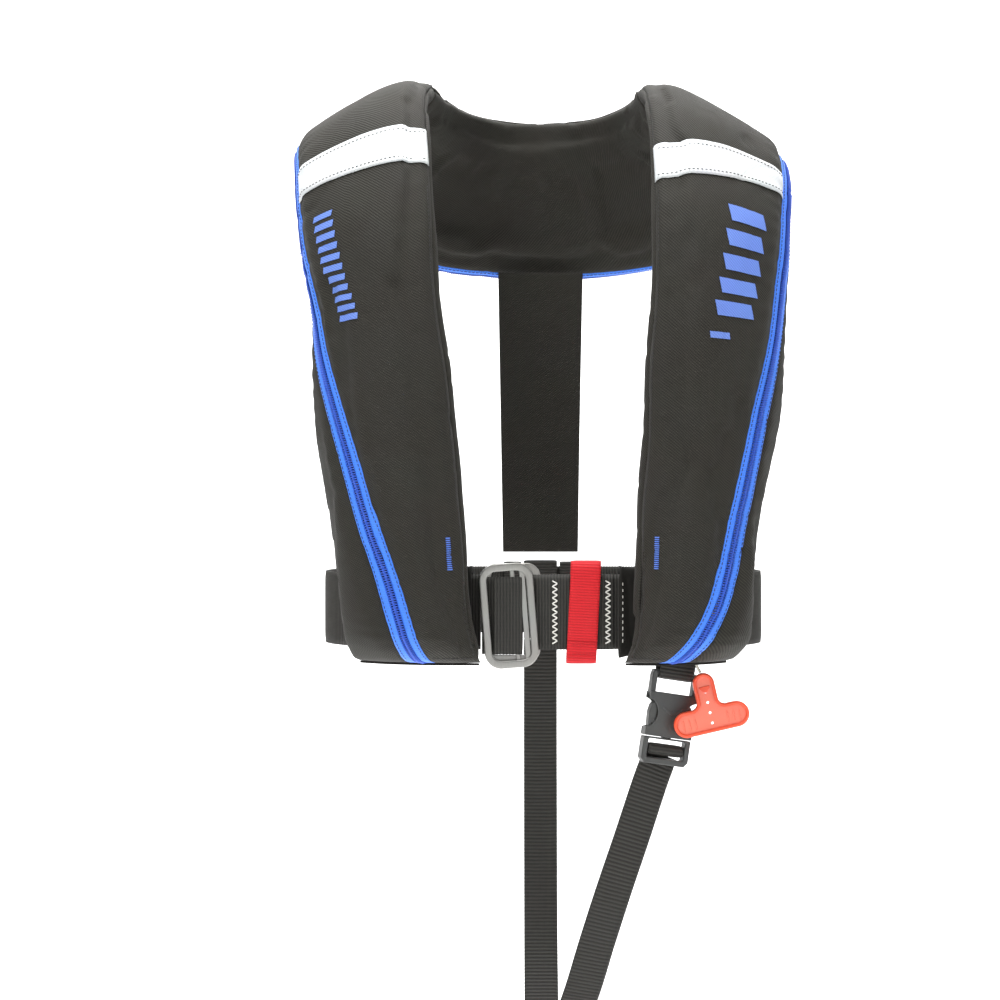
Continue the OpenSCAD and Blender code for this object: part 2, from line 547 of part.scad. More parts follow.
// The webbing lies flat on the wearer: it starts turned like the buckle and faces back at its end
module crotch_strap() color(webbing)
    skin([for (i = [0 : 3 * strap_last]) let (
            s = i / 3,
            t = unit(strap_at(s + 0.05) - strap_at(s - 0.05)),
            side = [1, max(0, 0.32 - 0.05 * s), 0],
            w = unit(side - t * (side * t)) * strap_w / 2,
            n = unit(cross(w, t)) * strap_t / 2,
            c = strap_at(s))
        [c - w - n, c + w - n, c + w + n, c - w + n]]);
module crotch_strap_anchor() color(webbing) translate([0, waist_y, belt_z])
    flat_ring(strap_w, belt_t / 2 + 0.8, belt_w + 6, 1.6);

cover_front_left();
cover_front_right();
cover_back_left();
cover_back_right();
collar_outer();
collar_inner();
hem_left();
hem_right();
zip_tape_outer();
zip_tape_inner();
zip_coil();
zip_slider();
zip_pull();
reflective_tape_left();
reflective_tape_right();
bar_tacks();
bladder();
harness_webbing();
inflator_body();
inflator_flange();
inflator_lever();
water_sensor_cap();
gas_cylinder();
pull_cord();
pull_handle();
oral_tube();
oral_tube_cap();
whistle();
whistle_clip();
waist_belt();
belt_loop_fixed();
belt_loop_adjust();
belt_stitching();
belt_sleeve_left();
belt_sleeve_right();
buckle_frame_front();
buckle_frame_rear();
tether_loop();
back_yoke();
yoke_loops();
crotch_hanger();
crotch_buckle_female();
crotch_buckle_male();
crotch_prong_left();
crotch_prong_right();
crotch_strap_turn();
crotch_strap();
crotch_strap_anchor();
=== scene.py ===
import math

import bpy
import numpy as np
from mathutils import Matrix, Vector, noise
from mathutils.bvhtree import BVHTree


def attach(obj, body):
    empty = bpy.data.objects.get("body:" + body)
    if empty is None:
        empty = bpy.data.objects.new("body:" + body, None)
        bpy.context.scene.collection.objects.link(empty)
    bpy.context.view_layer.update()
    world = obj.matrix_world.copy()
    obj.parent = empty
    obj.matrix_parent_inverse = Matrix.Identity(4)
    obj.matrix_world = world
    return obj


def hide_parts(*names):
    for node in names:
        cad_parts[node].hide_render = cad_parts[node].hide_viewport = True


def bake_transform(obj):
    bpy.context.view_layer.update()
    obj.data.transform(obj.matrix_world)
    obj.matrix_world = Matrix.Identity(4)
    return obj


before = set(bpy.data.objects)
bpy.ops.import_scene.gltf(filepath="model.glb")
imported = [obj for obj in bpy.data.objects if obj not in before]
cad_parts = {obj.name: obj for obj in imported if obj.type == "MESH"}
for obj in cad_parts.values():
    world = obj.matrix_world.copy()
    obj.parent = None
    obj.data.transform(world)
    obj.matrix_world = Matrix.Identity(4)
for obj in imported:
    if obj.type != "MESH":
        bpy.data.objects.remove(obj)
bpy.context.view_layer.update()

# Inflatable life jacket in its cover, as worn. Shapes are worked out in millimetres in the CAD
# frame (+X the wearer's left, -Y the front, +Z up) and scaled when a piece is made.
MM = 0.001
scene = bpy.context.scene

# ---- Driving dimensions ----
ZIP_W = 17.0
COIL_W = 5.6
COIL_PITCH = 1.7
COVER_WALL = 2.0
BELT_Z = -368.6
BELT_W = 50.0
BELT_T = 2.0
WAIST_X = 153.0
WAIST_Y = 105.0
BELT_POWER = 2.4
STEEL_W = 5.0
STRAP_W = 25.0
STRAP_T = 1.8
CORD_R = 1.0
RELIEF_CAP = 4.0
RIB = 2.1
SIM_VOXEL = 0.006
SIM_STEPS = 20
SMALL_FACE = 4e-6


def added(name, data):
    """A new object in the scene."""
    made = bpy.data.objects.new(name, data)
    scene.collection.objects.link(made)
    return made


def baked(made):
    """A new mesh of an object with its modifiers applied."""
    return bpy.data.meshes.new_from_object(made.evaluated_get(bpy.context.evaluated_depsgraph_get()))


# ---- Camera ----
camera = added("camera", bpy.data.cameras.new("camera"))
camera.data.lens = 87.3
camera.data.sensor_width = 36
camera.location = (-0.0304, -1.72, -0.294)
camera.rotation_euler = (math.pi / 2, 0, 0)
scene.camera = camera


# ---- Materials ----
def material(name, colour, roughness, metallic=0.0, weave=(), contrast=0.25, speckle=0.0008, wear=0.12,
             bump=0.0002, use_uv=False, sheen=0.0, gloss=0.5, streak=(1, 1, 1), slot=None):
    """A procedural finish. weave lists (direction in degrees, period in metres) of the threads, streak
    stretches the fine grain along one axis, as brushing does, and slot is the record's material slot."""
    made = bpy.data.materials.new(name + "_look")
    made["slot"] = slot or name
    made.use_nodes = True
    tree = made.node_tree

    def fill(node, inputs):
        for key, value in inputs.items():
            if isinstance(value, bpy.types.NodeSocket):
                tree.links.new(value, node.inputs[key])
            else:
                node.inputs[key].default_value = value
        return node

    def add(kind, inputs, **settings):
        node = tree.nodes.new("ShaderNode" + kind)
        for key, value in settings.items():
            setattr(node, key, value)
        return fill(node, inputs).outputs

    where = tree.nodes.new("ShaderNodeTexCoord").outputs
    flat = where["UV" if use_uv else "Object"]
    grain = add("Mapping", {"Vector": flat, "Scale": streak})[0]
    height = add("TexNoise", {"Vector": grain, "Scale": 1 / speckle, "Detail": 3})["Fac"]
    for degrees, period in weave:
        turned = add("Mapping", {"Vector": flat, "Rotation": (0, 0, math.radians(degrees))})[0]
        threads = add("TexWave", {"Vector": turned, "Scale": math.pi / 10 / period,
                                  "Distortion": 0.6, "Detail": 1})
        halved = add("Math", {0: height, 1: 0.5}, operation="MULTIPLY")[0]
        height = add("Math", {0: threads["Fac"], 1: 0.55, 2: halved}, operation="MULTIPLY_ADD")[0]
    patches = add("TexNoise", {"Vector": where["Object"], "Scale": 28, "Detail": 4})
    dark = [c * (1 - contrast) for c in colour] + [1]
    light = [min(1, c * (1 + contrast)) for c in colour] + [1]
    shade = add("Mix", {"Factor": height, "A": dark, "B": light}, data_type="RGBA")["Result"]
    worn = add("Mix", {"Factor": wear, "A": shade, "B": patches["Color"]},
               data_type="RGBA", blend_type="MULTIPLY")
    rough = add("MapRange", {"Value": patches["Fac"], "To Min": max(0.02, roughness - 0.1),
                             "To Max": min(1, roughness + 0.1)})
    raised = add("Bump", {"Distance": bump, "Strength": 0.8, "Height": height})
    fill(tree.nodes["Principled BSDF"], {
        "Metallic": metallic, "Sheen Weight": sheen, "Sheen Roughness": 0.6, "Specular IOR Level": gloss,
        "Base Color": worn["Result"], "Roughness": rough["Result"], "Normal": raised["Normal"]})
    return made


TWILL = ((-38, 0.0011), (52, 0.0014))
PLAIN = ((0, 0.0012), (90, 0.0012))
FABRIC = material("cover_fabric", (0.021, 0.0195, 0.0155), 0.75, weave=TWILL, contrast=0.75, use_uv=True,
                  sheen=0.02, gloss=0.2, bump=0.0004)
TAPE = material("zip_tape", (0.036, 0.19, 0.84), 0.6, weave=PLAIN, sheen=0.05, use_uv=True)
COIL = material("zip_coil", (0.02, 0.09, 0.55), 0.4)
ZIP_METAL = material("zip_metal", (0.55, 0.55, 0.53), 0.3, metallic=1.0)
REFLECT = material("reflective_tape", (0.58, 0.6, 0.61), 0.42, weave=((45, 0.002), (-45, 0.002)),
                   contrast=0.05, use_uv=True, bump=0.00008)
TACK = material("tack_thread", (0.08, 0.18, 0.62), 0.55, contrast=0.3)
BLADDER = material("bladder_fabric", (0.85, 0.32, 0.04), 0.5, weave=PLAIN)
WEBBING = material("black_webbing", (0.02, 0.019, 0.016), 0.62, weave=((0, 0.0009), (90, RIB * MM)),
                   contrast=0.95, use_uv=True, sheen=0.04, gloss=0.3)
PLASTIC = material("black_plastic", (0.05, 0.052, 0.05), 0.38, contrast=0.1, bump=0.00006)
YELLOW = material("yellow_plastic", (0.8, 0.55, 0.05), 0.4, contrast=0.08, bump=0.00006)
ORANGE = material("orange_plastic", (0.85, 0.36, 0.05), 0.4, contrast=0.08, bump=0.00006)
RED_PLASTIC = material("red_plastic", (0.83, 0.085, 0.03), 0.36, contrast=0.08, bump=0.00006)
# Painted highlight: a lighter copy of the red plastic, used on the pull handle's flat face and grips where
# light falls on them
HANDLE_PAINTED_HIGHLIGHT = material("red_plastic_painted_highlight", (0.86, 0.19, 0.12), 0.42, contrast=0.08, bump=0.00006,
                       slot="red_plastic")
GAS_STEEL = material("gas_steel", (0.5, 0.52, 0.52), 0.34, metallic=1.0, contrast=0.12)
CORD = material("cord", (0.72, 0.68, 0.58), 0.75, weave=((0, 0.0008),), contrast=0.35)
THREAD = material("white_thread", (0.72, 0.71, 0.66), 0.7, contrast=0.2)
STEEL = material("buckle_steel", (0.3, 0.295, 0.28), 0.34, metallic=1.0, contrast=0.12, speckle=0.0006,
                 streak=(1, 1, 0.06), bump=0.00005)
RED_WEB = material("red_webbing", (0.52, 0.006, 0.012), 0.66, weave=((0, 0.0009), (90, RIB * MM)),
                   contrast=0.3, use_uv=True, sheen=0.03, gloss=0.3)
PRINT = material("print_ink", (0.11, 0.2, 0.58), 0.6, weave=TWILL, use_uv=True, slot="zip_tape")
DARK_THREAD = material("dark_thread", (0.02, 0.02, 0.02), 0.7, contrast=0.2, slot="black_webbing")


# ---- Making pieces ----
def piece(name, points, faces, finish, body, nodes=(), uv=None):
    """A mesh piece from millimetre points, which rides a body and stands for CAD nodes."""
    mesh = bpy.data.meshes.new(name)
    mesh.from_pydata((np.asarray(points) * MM).tolist(), [], [tuple(map(int, f)) for f in faces])
    mesh.shade_smooth()
    if uv is not None:
        layer = mesh.uv_layers.new(name="flat")
        corners = np.empty(len(mesh.loops), int)
        mesh.loops.foreach_get("vertex_index", corners)
        layer.data.foreach_set("uv", (np.asarray(uv)[corners] * MM).astype(np.float32).ravel())
    mesh.validate()
    return settle(added(name, mesh), finish, body, nodes)


def settle(made, finish, body, nodes=()):
    """Gives a made object its finish, its body and the CAD nodes it stands for."""
    made.data.materials.clear()
    made.data.materials.append(finish)
    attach(made, body)
    if nodes:
        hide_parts(*nodes)
    return made


def grid_faces(rows, columns, ring=False, loop=False, first=0):
    """Quads between rows of points. ring joins each row's ends, and loop joins the last row to the first."""
    faces = []
    for i in range(rows if loop else rows - 1):
        for j in range(columns if ring else columns - 1):
            a = i * columns
            b = (i + 1) % rows * columns
            k = (j + 1) % columns
            faces.append((first + a + j, first + a + k, first + b + k, first + b + j))
    return faces


def capsule(rings):
    """Rings of points as one closed shape."""
    columns = len(rings[0])
    last = (len(rings) - 1) * columns
    faces = grid_faces(len(rings), columns, ring=True)
    faces += [tuple(range(columns))[::-1], tuple(range(last, last + columns))]
    return np.concatenate(rings), faces


def turns(count):
    """Evenly spaced angles round a circle."""
    return np.linspace(0, 2 * np.pi, count + 1)[:-1]


def slab_faces(rows, columns):
    """Faces of a grid of points, the same grid under it and the edge between them."""
    shift = rows * columns
    faces = grid_faces(rows, columns) + [f[::-1] for f in grid_faces(rows, columns, first=shift)]
    border = list(range(columns))
    border += [i * columns + columns - 1 for i in range(1, rows)]
    border += [(rows - 1) * columns + j for j in range(columns - 2, -1, -1)]
    border += [i * columns for i in range(rows - 2, 0, -1)]
    return faces + [(b, a, a + shift, b + shift) for a, b in zip(border, border[1:] + border[:1])]


def end_faces(columns, start, flip=False):
    """Closes a ring of points, whose second half runs back along the first, with quads."""
    faces = []
    for j in range(columns // 2 - 1):
        quad = (start + j, start + columns - 1 - j, start + columns - 2 - j, start + j + 1)
        faces.append(quad[::-1] if flip else quad)
    return faces


def unit(v):
    v = np.asarray(v, float)
    return v / np.maximum(np.linalg.norm(v, axis=-1, keepdims=True), 1e-12)


def power(x, p):
    return np.sign(x) * np.abs(x) ** p


def lengths_along(points):
    steps = np.linalg.norm(np.diff(points, axis=0), axis=1)
    return np.concatenate([[0], np.cumsum(steps)])


def tangents(path, loop=False):
    if loop:
        return unit(np.roll(path, -1, axis=0) - np.roll(path, 1, axis=0))
    return unit(np.gradient(path, axis=0))


def resample(values, places, wanted):
    return np.stack([np.interp(wanted, places, column) for column in np.asarray(values, float).T], axis=1)


def joined(shapes):
    """Several (points, faces) shapes as one."""
    points = []
    faces = []
    for p, f in shapes:
        faces += [tuple(i + len(points) for i in face) for face in f]
        points += list(p)
    return np.array(points), faces


def tube(path, radius, sides=10):
    """A round bar along a path."""
    path = np.asarray(path, float)
    along = tangents(path)
    hint = np.where(np.abs(along[:, 1:2]) < 0.8, [[0.0, 1.0, 0.0]], [[1.0, 0.0, 0.0]])
    u = unit(np.cross(along, hint))
    v = np.cross(along, u)
    radius = np.broadcast_to(np.asarray(radius, float), (len(path),))[:, None, None]
    turn = turns(sides)[:, None]
    rings = path[:, None] + radius * (u[:, None] * np.cos(turn) + v[:, None] * np.sin(turn))
    faces = grid_faces(len(path), sides, ring=True)
    faces += end_faces(sides, 0, flip=True) + end_faces(sides, (len(path) - 1) * sides)
    return rings.reshape(-1, 3), faces


def webbing(path, sides, width, thick, pitch=RIB, rib=0.4, loop=False):
    """A woven band along a path with real ribs across it: points, faces and flat coordinates, in which
    a rib is always RIB long."""
    path = np.asarray(path, float)
    sides = np.broadcast_to(np.asarray(sides, float), path.shape)
    if loop:
        path = np.vstack([path, path[:1]])
        sides = np.vstack([sides, sides[:1]])
    places = lengths_along(path)
    count = round(places[-1] / pitch) * 4 if loop else round(places[-1] / (pitch / 4))
    wanted = np.linspace(0, places[-1], max(8, int(count)) + 1)[:-1 if loop else None]
    middle = resample(path, places, wanted)
    along = tangents(middle, loop)
    across = resample(sides, places, wanted)
    across = unit(across - along * (across * along).sum(1, keepdims=True))
    normal = np.cross(across, along)
    columns = 13
    u = np.linspace(-1, 1, columns)
    phase = 2 * np.pi * np.arange(len(middle)) / 4
    wave = 0.5 + 0.5 * np.cos(phase)
    edge = 1 - 0.5 * np.abs(u) ** 10
    top = (thick / 2 - rib * (1 - wave[:, None])) * edge
    under = (thick / 2 - rib * wave[:, None]) * edge
    reach = width / 2 * (1 - 0.008 * wave[:, None]) * u
    line = middle[:, None] + across[:, None] * reach[..., None]
    upper = line + normal[:, None] * top[..., None]
    lower = line - normal[:, None] * under[..., None]
    rings = np.concatenate([upper, lower[:, ::-1]], axis=1)
    flat_u = np.concatenate([u, u[::-1]]) * width / 2
    ridge = np.repeat([RIB / 2, 0], columns)
    flat_v = np.arange(len(middle))[:, None] * RIB / 4 + ridge
    uv = np.stack(np.broadcast_arrays(flat_u[None], flat_v), axis=-1).reshape(-1, 2)
    faces = grid_faces(len(middle), 2 * columns, ring=True, loop=loop)
    if not loop:
        last = (len(middle) - 1) * 2 * columns
        faces += end_faces(2 * columns, 0) + end_faces(2 * columns, last, flip=True)
    return rings.reshape(-1, 3), faces, uv


def band(name, path, sides, width, thick, finish, body, nodes=(), **ribs):
    """A piece of webbing."""
    points, faces, uv = webbing(path, sides, width, thick, **ribs)
    return piece(name, points, faces, finish, body, nodes, uv=uv)


def stitch_line(path, normals, pitch=3.0, length=2.0, width=0.5):
    """A row of thread stitches lying on a surface."""
    path = np.asarray(path, float)
    places = lengths_along(path)
    shapes = []
    for centre in np.arange(pitch, places[-1] - pitch / 2, pitch):
        wanted = centre + length * np.array([-0.5, -0.3, 0.3, 0.5])
        line = resample(path, places, wanted)
        lift = np.array([[-0.15], [0.18], [0.18], [-0.15]])
        line = line + resample(normals, places, wanted) * lift
        shapes.append(tube(line, np.array([0.5, 1, 1, 0.5]) * width / 2, sides=6))
    return joined(shapes)


def plate(name, loops, thick, bevel, matrix, finish, body, nodes=()):
    """A bevelled plate: the first loop is its outline and the others are holes, in its own x-y plane."""
    curve = bpy.data.curves.new(name, "CURVE")
    curve.dimensions = "2D"
    curve.fill_mode = "BOTH"
    curve.extrude = (thick / 2 - bevel) * MM
    curve.bevel_depth = bevel * MM
    curve.bevel_resolution = 3
    curve.offset = -bevel * MM
    for i, points in enumerate(loops):
        points = np.asarray(points, float)
        x, y = points.T
        area = np.sum(x * np.roll(y, -1) - y * np.roll(x, -1))
        if (area > 0) == (i > 0):
            points = points[::-1]
        spline = curve.splines.new("POLY")
        spline.points.add(len(points) - 1)
        for target, (px, py) in zip(spline.points, points):
            target.co = (px * MM, py * MM, 0, 1)
        spline.use_cyclic_u = True
    holder = added(name + "_curve", curve)
    mesh = baked(holder)
    bpy.data.objects.remove(holder)
    mesh.transform(matrix)
    mesh.name = name
    settle(added(name, mesh), finish, body, nodes)
    for face in mesh.polygons:
        face.use_smooth = face.area < SMALL_FACE


def frame_of(origin, x, y, z):
    """A matrix that puts local x, y and z on the given directions, with its origin in millimetres."""
    rows = Matrix.Identity(4)
    for i in range(3):
        rows[i][0], rows[i][1], rows[i][2] = x[i], y[i], z[i]
        rows[i][3] = origin[i] * MM
    return rows


def level(degrees):
    """A level direction, turned from +X towards +Y."""
    return np.array([math.cos(math.radians(degrees)), math.sin(math.radians(degrees)), 0])


def leaning(degrees):
    """Directions across and up for a part that leans sideways in the front plane."""
    x, z, _ = level(degrees)
    return np.array([x, 0, -z]), np.array([z, 0, x])


def moved(shape, matrix):
    """A (points, faces) shape in millimetres, put through a matrix in metres."""
    points = np.asarray(shape[0], float)
    turned = np.array(matrix.to_3x3()) @ points.T
    return turned.T + np.array(matrix.translation)[None] / MM, shape[1]


def lathe(profile, sides=48):
    """A turned shape round z from (radius, height) points, whose first and last radius are 0 or meet."""
    turn = turns(sides)
    profile = np.asarray(profile, float)
    ring = [np.stack([r * np.cos(turn), r * np.sin(turn), np.full(sides, z)], axis=1) for r, z in profile]
    closed = bool(np.allclose(profile[0], profile[-1]))
    if closed:
        ring = ring[:-1]
    faces = [f[::-1] for f in grid_faces(len(ring), sides, ring=True, loop=closed)]
    return np.concatenate(ring), faces


def rounded_loop(width, height, radius, steps=8):
    """A rectangle with round corners, as points."""
    points = []
    for corner, (sx, sy) in enumerate(((1, 1), (-1, 1), (-1, -1), (1, -1))):
        middle = sx * (width / 2 - radius), sy * (height / 2 - radius)
        points += arc(*middle, radius, 90 * corner, 90 * corner + 90, steps + 1)
    return points


def arc(x, y, radius, start, end, steps=12):
    """Points on an arc between two directions in degrees."""
    return [(x + radius * math.cos(a), y + radius * math.sin(a))
            for a in np.radians(np.linspace(start, end, steps))]


def circle(x, y, radius, steps=24):
    return arc(x, y, radius, 0, 360, steps + 1)[:-1]


def smooth_path(knots, per_knot=8):
    """Catmull-Rom points through knots."""
    knots = [np.asarray(k, float) for k in knots]
    knots = [2 * knots[0] - knots[1]] + knots + [2 * knots[-1] - knots[-2]]
    points = []
    for k in range(1, len(knots) - 2):
        for i in range(per_knot):
            points.append(spline(*knots[k - 1:k + 3], i / per_knot))
    points.append(knots[-2])
    return np.array(points)


def spline(a, b, c, d, t):
    return (2 * b + (c - a) * t + (2 * a - 5 * b + 4 * c - d) * t * t + (3 * b - a - 3 * c + d) * t ** 3) / 2


# ---- Cord of the pull handle ----
CORD_ROUTE = [[98, -123, -337], [98, -123, -350], [97.5, -122, -359], [97, -117, -364.5],
              [97.5, -110, -368.5], [99.5, -103.5, -372.5], [100.5, -101, -377], [100.5, -100.8, -390],
              [100.5, -100.8, -402], [101.6, -101.2, -406], [103.2, -102.6, -409]]
cord_path = smooth_path(CORD_ROUTE)
cord_curve = bpy.data.curves.new("pull_cord_line", "CURVE")
cord_curve.dimensions = "3D"
cord_curve.bevel_depth = CORD_R * MM
cord_curve.bevel_resolution = 4
cord_curve.use_fill_caps = True
cord_spline = cord_curve.splines.new("POLY")
cord_spline.points.add(len(cord_path) - 1)
for target, point in zip(cord_spline.points, cord_path):
    target.co = (*(point * MM), 1)
cord_curve.materials.append(CORD)
pull_cord = added("pull_cord_line", cord_curve)
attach(pull_cord, "pull_handle")
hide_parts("pull_cord")

# ---- Shape of the lobes and collar ----
# From the left lobe's hem to the middle of the collar: the section's inner edge x, y, z, outer edge
# x, y, z, thickness, crown and the zip's angle. The second table is added for the right lobe.
STATIONS = [
    [47.5, -107, -402, 124, -76, -402, 34, 11, 101],
    [51, -107, -365, 127, -74, -365, 43, 10, 89],
    [52, -111, -300, 131.5, -72, -302, 44, 9, 76],
    [56, -116, -235, 145.5, -70, -238, 41, 9, 70],
    [60, -117, -168, 150, -68, -178, 37, 8, 49],
    [63.5, -106, -102, 156.5, -60, -126, 32, 6, 34],
    [63, -72, -43, 161.5, -38, -88, 28, 3, 26],
    [61, -18, -15, 159, 0, -74, 25, 1, 20],
    [54, 34, -16, 141, 56, -95, 26, 3, 8],
    [34, 66, -17, 94, 96, -122, 28, 6, 2],
    [0, 78, -16, 0, 112, -130, 28, 5, 0]]
RIGHT_HANG = [[-9, 3, 0, 97], [-8, 0, 0, 95], [-5.5, 2.5, 0, 84], [-4, -2.5, 0, 69], [1, -5, 0, 41],
              [3.5, -1, 1, 12], [9, 2, 7, 5], [10, 6, 12, 0], [4, 4, 8, 0], [0, 0, 1, 0], [0, 0, 0, 0]]
MIDDLE = 10
END = 20
END_T = 9.0
END_LEN = 0.6
SQUARENESS = 2.5
SEAM_L = 7.25
SEAM_R = END - SEAM_L


def right_station(k):
    r = STATIONS[k]
    h = RIGHT_HANG[k]
    return np.array([-r[0] - h[0], r[1], r[2], -r[3] - h[1], r[4], r[5] + h[2], r[6], r[7], h[3]], float)


def station(k):
    if k < 0:
        return 2 * station(0) - station(1)
    if k <= MIDDLE:
        return np.array(STATIONS[k], float)
    if k <= END:
        return right_station(END - k)
    return 2 * right_station(0) - right_station(1)


def station_at(s):
    k = max(0, min(END - 1, math.floor(s)))
    return spline(station(k - 1), station(k), station(k + 1), station(k + 2), s - k)


def middle_at(s):
    r = station_at(s)
    return (r[:3] + r[3:6]) / 2


class Section:
    """One cross-section of the U, with places on its outline by length q from the inner edge."""

    def __init__(self, s):
        r = station_at(s)
        inside = max(0, min(s, END - s)) / END_LEN
        full = 1 if inside >= 1 else math.sqrt(1 - (1 - inside) ** 2)
        self.s = s
        self.centre = (r[:3] + r[3:6]) / 2
        self.across = unit(r[3:6] - r[:3])
        self.outward = unit(np.cross(self.across, unit(middle_at(s + 0.05) - middle_at(s - 0.05))))
        self.width = np.linalg.norm(r[3:6] - r[:3]) * (0.94 + 0.06 * full)
        self.thick = END_T + (r[6] - END_T) * full
        self.crown = r[7]
        self.angles = np.linspace(-180, 180, 97)
        points = self.outline(self.angles, 0)
        self.lengths = lengths_along(points)
        self.girth = self.lengths[-1]
        self.zip = float(np.interp(r[8], self.angles, self.lengths))

    def outline(self, angles, depth):
        a = np.radians(angles)
        u = (self.width / 2 - depth) * power(np.cos(a), 2 / SQUARENESS)
        v = self.thick / 2 + (self.thick / 2 - depth) * power(np.sin(a), 2 / SQUARENESS)
        return np.stack(np.broadcast_arrays(u, v), axis=-1)

    def place(self, q, depth):
        """Points on the outline at lengths q, depth inside it."""
        uv = self.outline(np.interp(q, self.lengths, self.angles), depth)
        crown = self.crown * (1 - (2 * uv[..., 0] / self.width) ** 2)
        return self.centre + uv[..., :1] * self.across + (uv[..., 1] + crown)[..., None] * self.outward


sections = {}


def section(s):
    key = round(float(s), 4)
    if key not in sections:
        sections[key] = Section(key)
    return sections[key]


# ---- Cloth: the closed cover is blown up and let settle, and its shape becomes a relief ----
RELIEF_S = np.linspace(0.5, END - 0.5, 229)
RELIEF_A = np.linspace(-180, 180, 61)[:-1]


def simulated_relief():
    """How far simulated cloth stands off the plain lobes, by section and angle, in millimetres."""
    rings = []
    for s in np.linspace(0.1, END - 0.1, 200):
        f = section(s)
        rings.append(f.place(np.interp(RELIEF_A, f.angles, f.lengths), 1.5))
    points, faces = capsule(rings)
    mesh = bpy.data.meshes.new("cloth_trial")
    mesh.from_pydata((points * MM).tolist(), [], faces)
    trial = added("cloth_trial", mesh)
    remesh = trial.modifiers.new("remesh", "REMESH")
    remesh.mode = "VOXEL"
    remesh.voxel_size = SIM_VOXEL
    trial.data = baked(trial)
    trial.modifiers.clear()
    cloth = trial.modifiers.new("cloth", "CLOTH")
    for key, value in (("quality", 6), ("mass", 0.25), ("use_pressure", True), ("uniform_pressure_force", 4),
                       ("tension_stiffness", 12), ("compression_stiffness", 6), ("bending_stiffness", 0.3),
                       ("shrink_min", -0.035)):
        setattr(cloth.settings, key, value)
    cloth.settings.effector_weights.gravity = 0
    cloth.point_cache.frame_start = 1
    cloth.point_cache.frame_end = SIM_STEPS
    for step in range(1, SIM_STEPS + 1):
        scene.frame_set(step)
    settled = baked(trial)
    scene.frame_set(1)
    bpy.data.objects.remove(trial)
    corners = [v.co for v in settled.vertices]
    tree = BVHTree.FromPolygons(corners, [tuple(p.vertices) for p in settled.polygons])
    relief = np.zeros((len(RELIEF_S), len(RELIEF_A)))
    for i, s in enumerate(RELIEF_S):
        f = section(s)
        q = np.interp(RELIEF_A, f.angles, f.lengths)
        skin = f.place(q, 0) * MM
        core = f.place(q, min(f.thick / 2, 9) - 1) * MM
        for j in range(len(RELIEF_A)):
            way = Vector(skin[j] - core[j])
            reach = way.length
            hit = tree.ray_cast(Vector(core[j]), way.normalized(), reach + 0.012)
            if hit[0] is not None:
                relief[i, j] = (hit[3] - reach) / MM
    relief -= np.median(relief)
    return np.clip(relief, -RELIEF_CAP, RELIEF_CAP)


cloth_relief = simulated_relief()


def cloth_at(s, angles):
    """The simulated relief between its samples."""
    i = np.interp(s, RELIEF_S, np.arange(len(RELIEF_S)))
    low = int(min(i, len(RELIEF_S) - 2))
    row = cloth_relief[low] * (low + 1 - i) + cloth_relief[low + 1] * (i - low)
    closed = np.concatenate([row, row[:1]])
    return np.interp(angles, np.append(RELIEF_A, 180), closed)


def relief(f, q):
    """Height of the fabric over the plain section: cloth, seam pinches, zip puckers and soft creases."""
    q = np.asarray(q, float)
    beside = np.abs(q - f.zip) - ZIP_W / 2
    away = 1 - np.exp(-(np.maximum(beside, 0) / 7) ** 2)
    height = np.clip(cloth_at(f.s, np.interp(q, f.lengths, f.angles)) * 0.8, -1.2, 3.2) * away
    from_edge = np.minimum(q, f.girth - q)
    height -= 1.3 * np.exp(-(from_edge / 3.5) ** 2)
    swell = np.exp(-((beside - 9) / 9) ** 2) * (beside > 0)
    height += 0.7 * swell * (1 + 0.5 * np.sin(f.s * 31 + 2 * np.sin(f.s * 3.7)))
    height -= 0.6 * np.exp(-(np.maximum(beside, 0) / 2.5) ** 2)
    for k, value in enumerate(q):
        place = Vector((f.s * 1.3, value / 34, 4.0))
        height[k] += 1.3 * noise.noise(place)
        crease = noise.noise(Vector((f.s * 2.2 + value / 60, value / 25, 9.0)))
        height[k] -= 1.1 * max(0.0, 1 - abs(crease) / 0.09) * max(0.0, noise.noise(place * 0.7) + 0.25)
    pinch = min(abs(f.s - SEAM_L), abs(f.s - SEAM_R))
    height -= 0.9 * math.exp(-(pinch / 0.05) ** 2)
    fade = min(1.0, min(f.s, END - f.s) / 0.35)
    return height * (0.25 + 0.75 * fade)


def on_cover(s, q, above=0.0):
    """Points on the cover's outside at section s and lengths q, with their height above it."""
    f = section(s)
    q = np.atleast_1d(np.asarray(q, float))
    return f.place(q, -(relief(f, q) + above))


def rows_between(a, b, step=0.045):
    return np.linspace(a, b, max(2, int(round((b - a) / step)) + 1))


def layer(name, rows, ends, columns, above, thick, finish, nodes=(), edge_drop=0.0, slant=0.0):
    """A layer on the cover between ends(section) for each row, closed at its edges. Its rows gain slant
    from the zip to the inner edge."""
    share = np.linspace(0, 1, columns)
    rim = np.minimum(share, 1 - share) * (columns - 1)
    drops = edge_drop * np.clip(1 - rim, 0, 1)
    upper = []
    lower = []
    uv = []
    run = 0.0
    before = section(rows[0]).centre
    for s in rows:
        run += np.linalg.norm(section(s).centre - before)
        before = section(s).centre
        if slant:
            parts = [(section(s + slant * c), np.array([c]), np.array([d])) for c, d in zip(share, drops)]
        else:
            parts = [(section(s), share, drops)]
        for f, c, drop in parts:
            q0, q1 = ends(f)
            q = q0 + (q1 - q0) * c
            height = relief(f, q)
            upper.append(f.place(q, -(height + above - drop)))
            lower.append(f.place(q, -(height + above - thick)))
            uv.append(np.stack([q - q1, np.full(len(q), run)], axis=1))
    points = np.concatenate(upper + lower)
    faces = slab_faces(len(rows), columns)
    return piece(name, points, faces, finish, "jacket", nodes, uv=np.concatenate(uv * 2))


def front_ends(f):
    return f.zip + ZIP_W / 2 - 1, f.girth - 0.2


